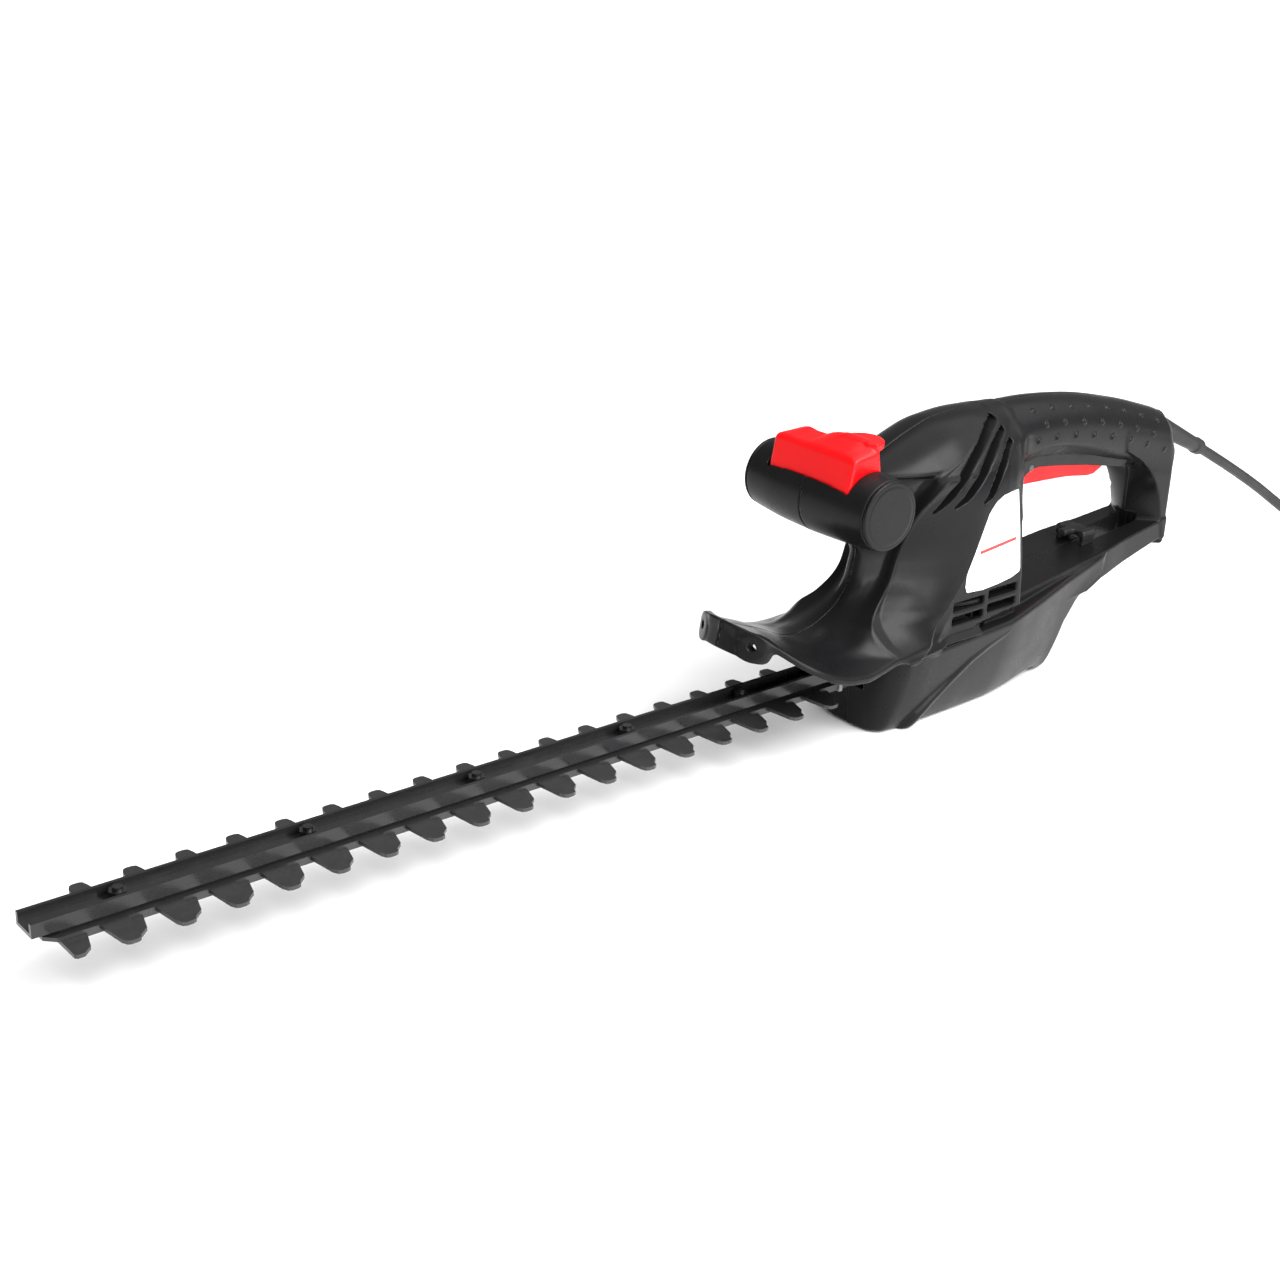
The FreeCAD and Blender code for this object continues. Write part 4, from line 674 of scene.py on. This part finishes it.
def rooms_field(x, y, z):
    """The hollows: motor room, gear room, grip, mouths for the controls and the blades."""
    barrel_off = np.sqrt((x - BARREL_X) ** 2 + (z - BARREL_Z) ** 2)
    sleeve_off = np.sqrt(y**2 + (z - SLEEVE_Z) ** 2)
    grip_round = np.sqrt((y / GRIP_ROOM_WIDE) ** 2 + ((z - GRIP_MIDDLE(x)) / GRIP_ROOM_UP) ** 2)
    grip_off = (grip_round - 1) * GRIP_ROOM_R
    rooms = [
        # motor, brushes, upper bearing
        motor_room(x, y, z, 34.5, 56, 132),
        motor_room(x, y, z, 28.6, 131.9, 150.9),
        motor_room(x, y, z, 17.5, 149.5, 168),
        # sump, gears, gear-case plate, blade clamp
        box_field(x, y, z, (-222, -128), (-19, 19), (3, 24)),
        box_field(x, y, z, (-224, -127.8), (-25.7, 25.7), (23, 47)),
        box_field(x, y, z, (-224, -127.8), (-30.8, 30.8), (46.9, 56.1)),
        box_field(x, y, z, (-130, -106), (-12, 12), (26.5, 56.1)),
        # rear of the hull, low and high
        box_field(x, y, z, (-262, -220), (-13.5, 13.5), (4, 60)),
        box_field(x, y, z, (-283, -240), (-19, 19), (38, 56)),
        # neck, and its top towards the barrel
        box_field(x, y, z, (-156, -137), (-9, 9), (60, 131)),
        box_field(x, y, z, (-152, -105), (-5.5, 5.5), (132.5, 146)),
        # barrel and its ends, grip
        np.maximum(barrel_off - 18.6, np.abs(y) - 42.8),
        np.maximum(barrel_off - 16.9, np.abs(y) - 60),
        np.maximum(grip_off, np.abs(x + 286) - 84),
        # mouths of the switch bar and the trigger
        box_field(x, y, z, (-101.4, -75), (-32.4, 32.4), (155, 210), 1.0),
        box_field(x, y, z, (-352.5, -245.5), (-12.05, 12.05), (104, 148), 0.8),
        # flange and root of the sleeve
        np.maximum(sleeve_off - 8.6, np.abs(x + 372) - 7),
        np.maximum(sleeve_off - 6.1, np.abs(x + 382) - 12),
        # slot in the lower bar behind the cable hook
        box_field(x, y, z, (-373, -325), (-7.5, 7.5), (50, 87), 2.0),
    ]
    field = rooms[0]
    for room in rooms[1:]:
        field = np.minimum(field, room)
    return field


def vents_field(x, y, z, outer):
    """Slots that follow the skin at a constant depth, and the two columns of louvres."""
    field = None
    for line in VENTS:
        distance, along = path_distance(line, x, z)
        half = VENT_HALF * np.minimum(1, 0.3 + along * 3.2) * (1 - 0.38 * along**2)
        slot = smooth_max(smooth_max(distance - half, -VENT_DEPTH - outer, 1.0), 10 - np.abs(y), 1.0)
        field = slot if field is None else np.minimum(field, slot)
    for x_span, z_span in GRILLE:
        slot = box_field(x, np.abs(y), z, x_span, (30, 60), z_span, 1.0)
        field = np.minimum(field, slot)
    return field


SCREWS = [(-380, 100, -12), (-356, 141, -12), (-238, 150, -12), (-150, 164, -12), (*NECK_SCREW, -14),
          (-133, 14, -14), (-205, 14, -14), (-252, 22, -11), (-270, 46, -15)]
SCREW_HEAD_ROOM = 4.1


def housing_field(x, y, z, side):
    outer = outer_field(x, y, z)
    d = smooth_max(outer, -rooms_field(x, y, z), 0.8)
    d = smooth_max(d, -vents_field(x, y, z, outer), 0.8)
    if side < 0:
        for screw_x, screw_z, head in SCREWS:
            hole = np.maximum(np.sqrt((x - screw_x) ** 2 + (z - screw_z) ** 2) - SCREW_HEAD_ROOM, y - head)
            d = smooth_max(d, -hole, 0.5)
    return smooth_max(d, SEAM - side * y, 0.8)


# ---------------------------------------------------------------- fields to meshes
PASSES, SLAB = 2, 48


def field_mesh(name, field, low, high, step):
    """Quad mesh of a field's zero level in a box; its vertices and smooth normals come from the field."""
    axes = [np.arange(a - 2 * step, b + 3 * step, step, dtype=np.float32) for a, b in zip(low, high)]
    shape = tuple(len(a) for a in axes)
    values = np.empty(shape, np.float32)
    for i in range(0, shape[0], SLAB):
        x = axes[0][i:i + SLAB].reshape(-1, 1, 1)
        values[i:i + SLAB] = field(x, axes[1].reshape(1, -1, 1), axes[2].reshape(1, 1, -1))
    grid = vdb.FloatGrid(3 * step)
    grid.copyFromArray(np.clip(values, -3 * step, 3 * step))
    points, quads = grid.convertToQuads(0.0)
    p = (points.astype(np.float64) * step + np.array([a[0] for a in axes])).astype(np.float32)
    probe, longest = 0.35 * step, 0.6 * step
    for _ in range(PASSES):
        value, slope = slope_of(field, p, probe)
        length2 = np.maximum((slope**2).sum(1), 0.05)
        p = p - np.clip(value / length2, -longest, longest)[:, None] * slope
    slope = slope_of(field, p, probe)[1]
    normals = slope / np.maximum(np.linalg.norm(slope, axis=1, keepdims=True), 1e-6)
    mesh = bpy.data.meshes.new(name)
    mesh.from_pydata((p * MM).tolist(), [], quads[:, ::-1].tolist())
    mesh.update()
    if outward(mesh, normals) < 0:
        mesh.flip_normals()
    mesh.shade_smooth()
    mesh.normals_split_custom_set_from_vertices(normals.tolist())
    obj = bpy.data.objects.new(name, mesh)
    bpy.context.scene.collection.objects.link(obj)
    return obj


def outward(mesh, normals):
    """Above zero where the faces look the way the field grows, from a sample of them."""
    total = 0.0
    for face in list(mesh.polygons)[:: max(1, len(mesh.polygons) // 400)]:
        total += float(np.dot(face.normal, normals[face.vertices[0]]))
    return total


def slope_of(field, p, step):
    """Value and gradient of a field at points."""
    x, y, z = p[:, 0], p[:, 1], p[:, 2]
    value = field(x, y, z)
    parts = []
    for dx, dy, dz in ((step, 0, 0), (0, step, 0), (0, 0, step)):
        parts.append((field(x + dx, y + dy, z + dz) - field(x - dx, y - dy, z - dz)) / (2 * step))
    return value, np.stack(parts, 1)


def piece(obj, body, look, node):
    """Dresses a new mesh that stands for one CAD node."""
    dress(obj, look)
    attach(obj, body)
    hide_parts(node)


HOUSING_STEP = 1.0
CONTROL_STEP, SLEEVE_STEP, HOOK_STEP = 0.7, 0.6, 0.5


def add_housing():
    for name, side in (("left", 1), ("right", -1)):
        low = (-391, 0 if side > 0 else -51, -0.5)
        high = (-16, 51 if side > 0 else 0, 190)
        shell = field_mesh(f"shell_{name}", lambda x, y, z, s=side: housing_field(x, y, z, s), low, high,
                           HOUSING_STEP)
        piece(shell, "housing", "black_housing", f"housing_{name}")


add_housing()


# ---------------------------------------------------------------- handle caps, controls, surround
def disc(off, along, radius, middle, half, k):
    """Disc from the distance off its axis and the place along it."""
    return smooth_max(off - radius, np.abs(along - middle) - half, k)


def cap_field(x, y, z):
    off = np.sqrt((x - BARREL_X) ** 2 + (z - BARREL_Z) ** 2)
    rim = disc(off, y, 20.0, 47.3, 1.3, 1.6)
    face = disc(off, y, 16.6, 46, 2.7, 1.2)
    plug = disc(off, y, 16.7, 43, 3.1, 0.6)
    return smooth_min(smooth_min(rim, face, 0.8), plug, 0.3)


def add_caps():
    for name, side in (("left", 1), ("right", -1)):
        low = (-113, 39.5 if side > 0 else -49, 129)
        high = (-72, 49 if side > 0 else -39.5, 171)
        cap = field_mesh(f"end_cap_{name}", lambda x, y, z, s=side: cap_field(x, s * y, z), low, high,
                         CONTROL_STEP)
        piece(cap, "housing", "black_housing", f"handle_cap_{name}")


BAR_CREST = curve([(-32, 178), (-28, 181), (-22, 182.8), (-16, 182), (-9, 182.2), (-3, 184.8), (4, 187),
                   (12, 187.9), (20, 187.6), (27, 185), (32, 182)])
BAR_HORN = [(-93, 6), (-101, 7), (-106.5, 11), (-109, 17), (-108.5, 22), (-106, 27), (-102, 30),
            (-96, 31), (-93, 27)]


BAR_FRONT, BAR_REAR, BAR_HALF, BAR_FOOT, BAR_LEVEL = -76.2, -101.0, 31.9, 160.2, 180
HORN_Z, HORN_HALF = 183.6, 2.6
NOSE_R, NOSE_Z, NOSE_HALF = 2.5, 162.2, 8


def switch_bar_field(x, y, z):
    """Push bar across the front handle: upright front face, wavy crest, a small horn behind."""
    front = x - BAR_FRONT + 0.19 * (z - 166)
    rear = BAR_REAR + 0.2 * (z - 169) - x
    back = np.clip((-79 - x) / 19, 0, 1)
    top = (z - BAR_LEVEL - (BAR_CREST(y) - BAR_LEVEL) * back) * 0.95
    form = smooth_max(smooth_max(front, rear, 2.0), np.abs(y) - BAR_HALF, 3.0)
    form = smooth_max(smooth_max(form, top, 3.2), BAR_FOOT - z, 0.8)
    horn = smooth_max(polygon(BAR_HORN, x, y), np.abs(z - HORN_Z) - HORN_HALF, 2.0)
    form = smooth_min(form, horn, 1.5)
    room = box_field(x, y, z, (-98.5, -79), (-29.5, 29.5), (150, 174.4))
    nose = np.maximum(np.sqrt((x - BARREL_X) ** 2 + y**2) - NOSE_R, np.abs(z - NOSE_Z) - NOSE_HALF)
    return smooth_min(smooth_max(form, -room, 0.6), nose, 0.5)


TRIGGER_SIDE = [(-248, 143), (-248, 130), (-252, 127), (-274, 126), (-296, 124.6), (-316, 121.6),
                (-322, 121.8), (-328, 124.5), (-334, 129), (-342, 131), (-342, 134), (-300, 140),
                (-262, 144)]


TRIGGER_PIN_X, TRIGGER_PIN_Z = -254, 139
TRIGGER_BORE_R, SURROUND_BORE_R = 2.05, 2.02


def pin_distance(x, z):
    """Distance from the axis that the trigger turns about."""
    return np.sqrt((x - TRIGGER_PIN_X) ** 2 + (z - TRIGGER_PIN_Z) ** 2)


def trigger_field(x, y, z):
    form = smooth_max(polygon(TRIGGER_SIDE, x, z), np.abs(y) - 8, 3.0)
    return np.maximum(form, TRIGGER_BORE_R - pin_distance(x, z))


SURROUND_SIDE = [(-246, 149), (-246, 133), (-249.2, 134.5), (-254, 137.6), (-262, 138.4), (-277, 136.5),
                 (-308, 131.5), (-330, 126.8), (-341, 124.5), (-346, 124.6), (-351.5, 129),
                 (-351.5, 134), (-340, 141), (-300, 148.5)]


def surround_field(x, y, z):
    form = smooth_max(polygon(SURROUND_SIDE, x, z), np.abs(y) - 12, 1.2)
    room = box_field(x, y, z, (-343.5, -247.5), (-8.6, 8.6), (100, 170), 1.0)
    return np.maximum(smooth_max(form, -room, 0.8), SURROUND_BORE_R - pin_distance(x, z))


HOOK_X, HOOK_Z, HOOK_TOP = -320, 84, 86


def hook_field(x, y, z):
    """Little saddle with two curled ears that holds a loop of the lead."""
    out, off = np.abs(y), np.abs(x - HOOK_X)
    seat = 78.49 + (x + 340) * -0.10925
    strap = smooth_max(np.abs(z - HOOK_Z + 0.02 * y**2) - 1.8, out - 11, 1.5)
    strap = smooth_max(strap, off - 5.8, 1.5)
    legs = smooth_max(smooth_max(np.abs(out - 9.3) - 1.6, off - 5.4, 1.2), z - HOOK_Z, 1.5)
    horn = smooth_max(np.sqrt(y**2 + (z - HOOK_Z) ** 2) - 3.0, np.abs(x + 314) - 8, 1.5)
    ears = smooth_max(np.sqrt((out - 9.0) ** 2 + (z - 83.4) ** 2) - 2.6, off - 6.0, 1.5)
    form = smooth_min(smooth_min(smooth_min(strap, legs, 1.5), horn, 2.0), ears, 1.0)
    return smooth_max(smooth_max(form, seat - z, 0.4), z - HOOK_TOP, 0.8)


def add_controls():
    bar = field_mesh("front_bar", switch_bar_field, (-110.5, -32.2, 154), (-76, 32.2, 188.5), CONTROL_STEP)
    piece(bar, "switch_bar", "red_plastic", "front_switch_bar")
    trigger = field_mesh("trigger_shell", trigger_field, (-343, -8.5, 118), (-247, 8.5, 145), CONTROL_STEP)
    piece(trigger, "trigger_lever", "red_plastic", "trigger")
    surround = field_mesh("surround_shell", surround_field, (-353, -12.5, 121), (-245, 12.5, 147),
                          CONTROL_STEP)
    piece(surround, "housing", "black_plastic", "trigger_surround")
    hook = field_mesh("hook_shell", hook_field, (-327, -12, 75), (-305, 12, 87), HOOK_STEP)
    piece(hook, "housing", "black_plastic", "cable_hook")


LABEL = [(-174.8, 84.2), (-173.2, 88), (-173.4, 95), (-176.8, 105.5), (-182.9, 119.6), (-186, 130),
         (-190.5, 136), (-196.4, 139.2), (-203.6, 140.6), (-211.2, 141.2), (-216.6, 115.2),
         (-220.7, 90.2), (-220.2, 88), (-213.5, 85.6), (-201.8, 84), (-188.5, 83.1)]
LABEL_LIFT, LABEL_FILM = 0.05, 0.3


def add_labels():
    for name, side in (("left", 1), ("right", -1)):
        shape = bmesh.new()
        level = side * (PANEL_HALF + LABEL_LIFT) * MM
        face = shape.faces.new([shape.verts.new((x * MM, level, z * MM)) for x, z in LABEL])
        grown = bmesh.ops.extrude_face_region(shape, geom=[face])["geom"]
        outer = [item for item in grown if isinstance(item, bmesh.types.BMVert)]
        bmesh.ops.translate(shape, vec=(0, side * LABEL_FILM * MM, 0), verts=outer)
        bmesh.ops.recalc_face_normals(shape, faces=shape.faces)
        mesh = bpy.data.meshes.new(f"label_{name}")
        shape.to_mesh(mesh)
        shape.free()
        label = bpy.data.objects.new(f"label_{name}", mesh)
        bpy.context.scene.collection.objects.link(label)
        piece(label, "housing", "label_white", f"side_label_{name}")


add_caps()
add_controls()
add_labels()


# ---------------------------------------------------------------- sleeve and plug
def sleeve_field(x, y, z):
    """Tapering tube that falls away behind, with a straight root and a flange inside the handle."""
    along = (SLEEVE_X - x) * math.cos(SLEEVE_FALL) + (SLEEVE_Z - z) * math.sin(SLEEVE_FALL)
    off = (x - SLEEVE_X) * -math.sin(SLEEVE_FALL) + (z - SLEEVE_Z) * math.cos(SLEEVE_FALL)
    radius = SLEEVE_R - SLEEVE_TAPER * np.clip(along / SLEEVE_LENGTH, 0, 1)
    radius = radius + SLEEVE_BEAD * ease(52, 54, along)
    tail = smooth_max(np.sqrt(off**2 + y**2) - radius, along - SLEEVE_END, 1.0)
    tail = smooth_max(tail, np.maximum(x + 390, -2 - along), 0.3)
    level = np.sqrt(y**2 + (z - SLEEVE_Z) ** 2)
    root = disc(level, x, 6.0, -383, 8.8, 0.4)
    flange = disc(level, x, 8.3, -375.5, 1.4, 0.4)
    return smooth_min(smooth_min(tail, root, 0.5), flange, 0.4)


def add_sleeve():
    sleeve = field_mesh("lead_sleeve", sleeve_field, (-445, -9, 111), (-373.5, 9, 153), SLEEVE_STEP)
    piece(sleeve, "housing", "black_rubber", "strain_relief")


add_sleeve()

# ---------------------------------------------------------------- floor and light
def add_floor():
    material, nodes, links, shader = new_material("floor_paper")
    links.new(mix_colours(nodes, links, noise(nodes, links, 3, 2), (0.86, 0.86, 0.86), (0.88, 0.88, 0.88)),
              shader.inputs["Base Color"])
    shader.inputs["Roughness"].default_value = 0.9
    bpy.ops.mesh.primitive_plane_add(size=40, location=(0, 0, 0))
    floor = bpy.context.object
    floor.name = "floor"
    floor.data.materials.append(material)


def add_light(name, place, target, size, power, size_y=None):
    data = bpy.data.lights.new(name, "AREA")
    data.shape = "RECTANGLE"
    data.size = size
    data.size_y = size_y or size
    data.energy = power
    light = bpy.data.objects.new(name, data)
    bpy.context.scene.collection.objects.link(light)
    light.location = place
    aim = Vector(target) - Vector(place)
    light.rotation_euler = aim.to_track_quat("-Z", "Y").to_euler()


def add_sun(place, power, angle):
    data = bpy.data.lights.new("soft_sun", "SUN")
    data.energy = power
    data.angle = math.radians(angle)
    light = bpy.data.objects.new("soft_sun", data)
    bpy.context.scene.collection.objects.link(light)
    light.rotation_euler = (-Vector(place)).to_track_quat("-Z", "Y").to_euler()


def add_lights():
    world = bpy.data.worlds.new("studio")
    world.use_nodes = True
    world.node_tree.nodes["Background"].inputs["Color"].default_value = (1, 1, 1, 1)
    world.node_tree.nodes["Background"].inputs["Strength"].default_value = 0.30
    bpy.context.scene.world = world
    middle = (-0.12, 0, 0.1)
    add_sun((-0.15, 0.35, 0.95), 3.3, 105)
    add_light("crown_box", (-0.35, 0.95, 1.1), middle, 1.0, 34)
    add_light("side_box", (0.35, 1.6, 0.35), middle, 1.0, 16, 0.5)


add_floor()
add_lights()
bpy.context.scene.view_settings.view_transform = "Standard"
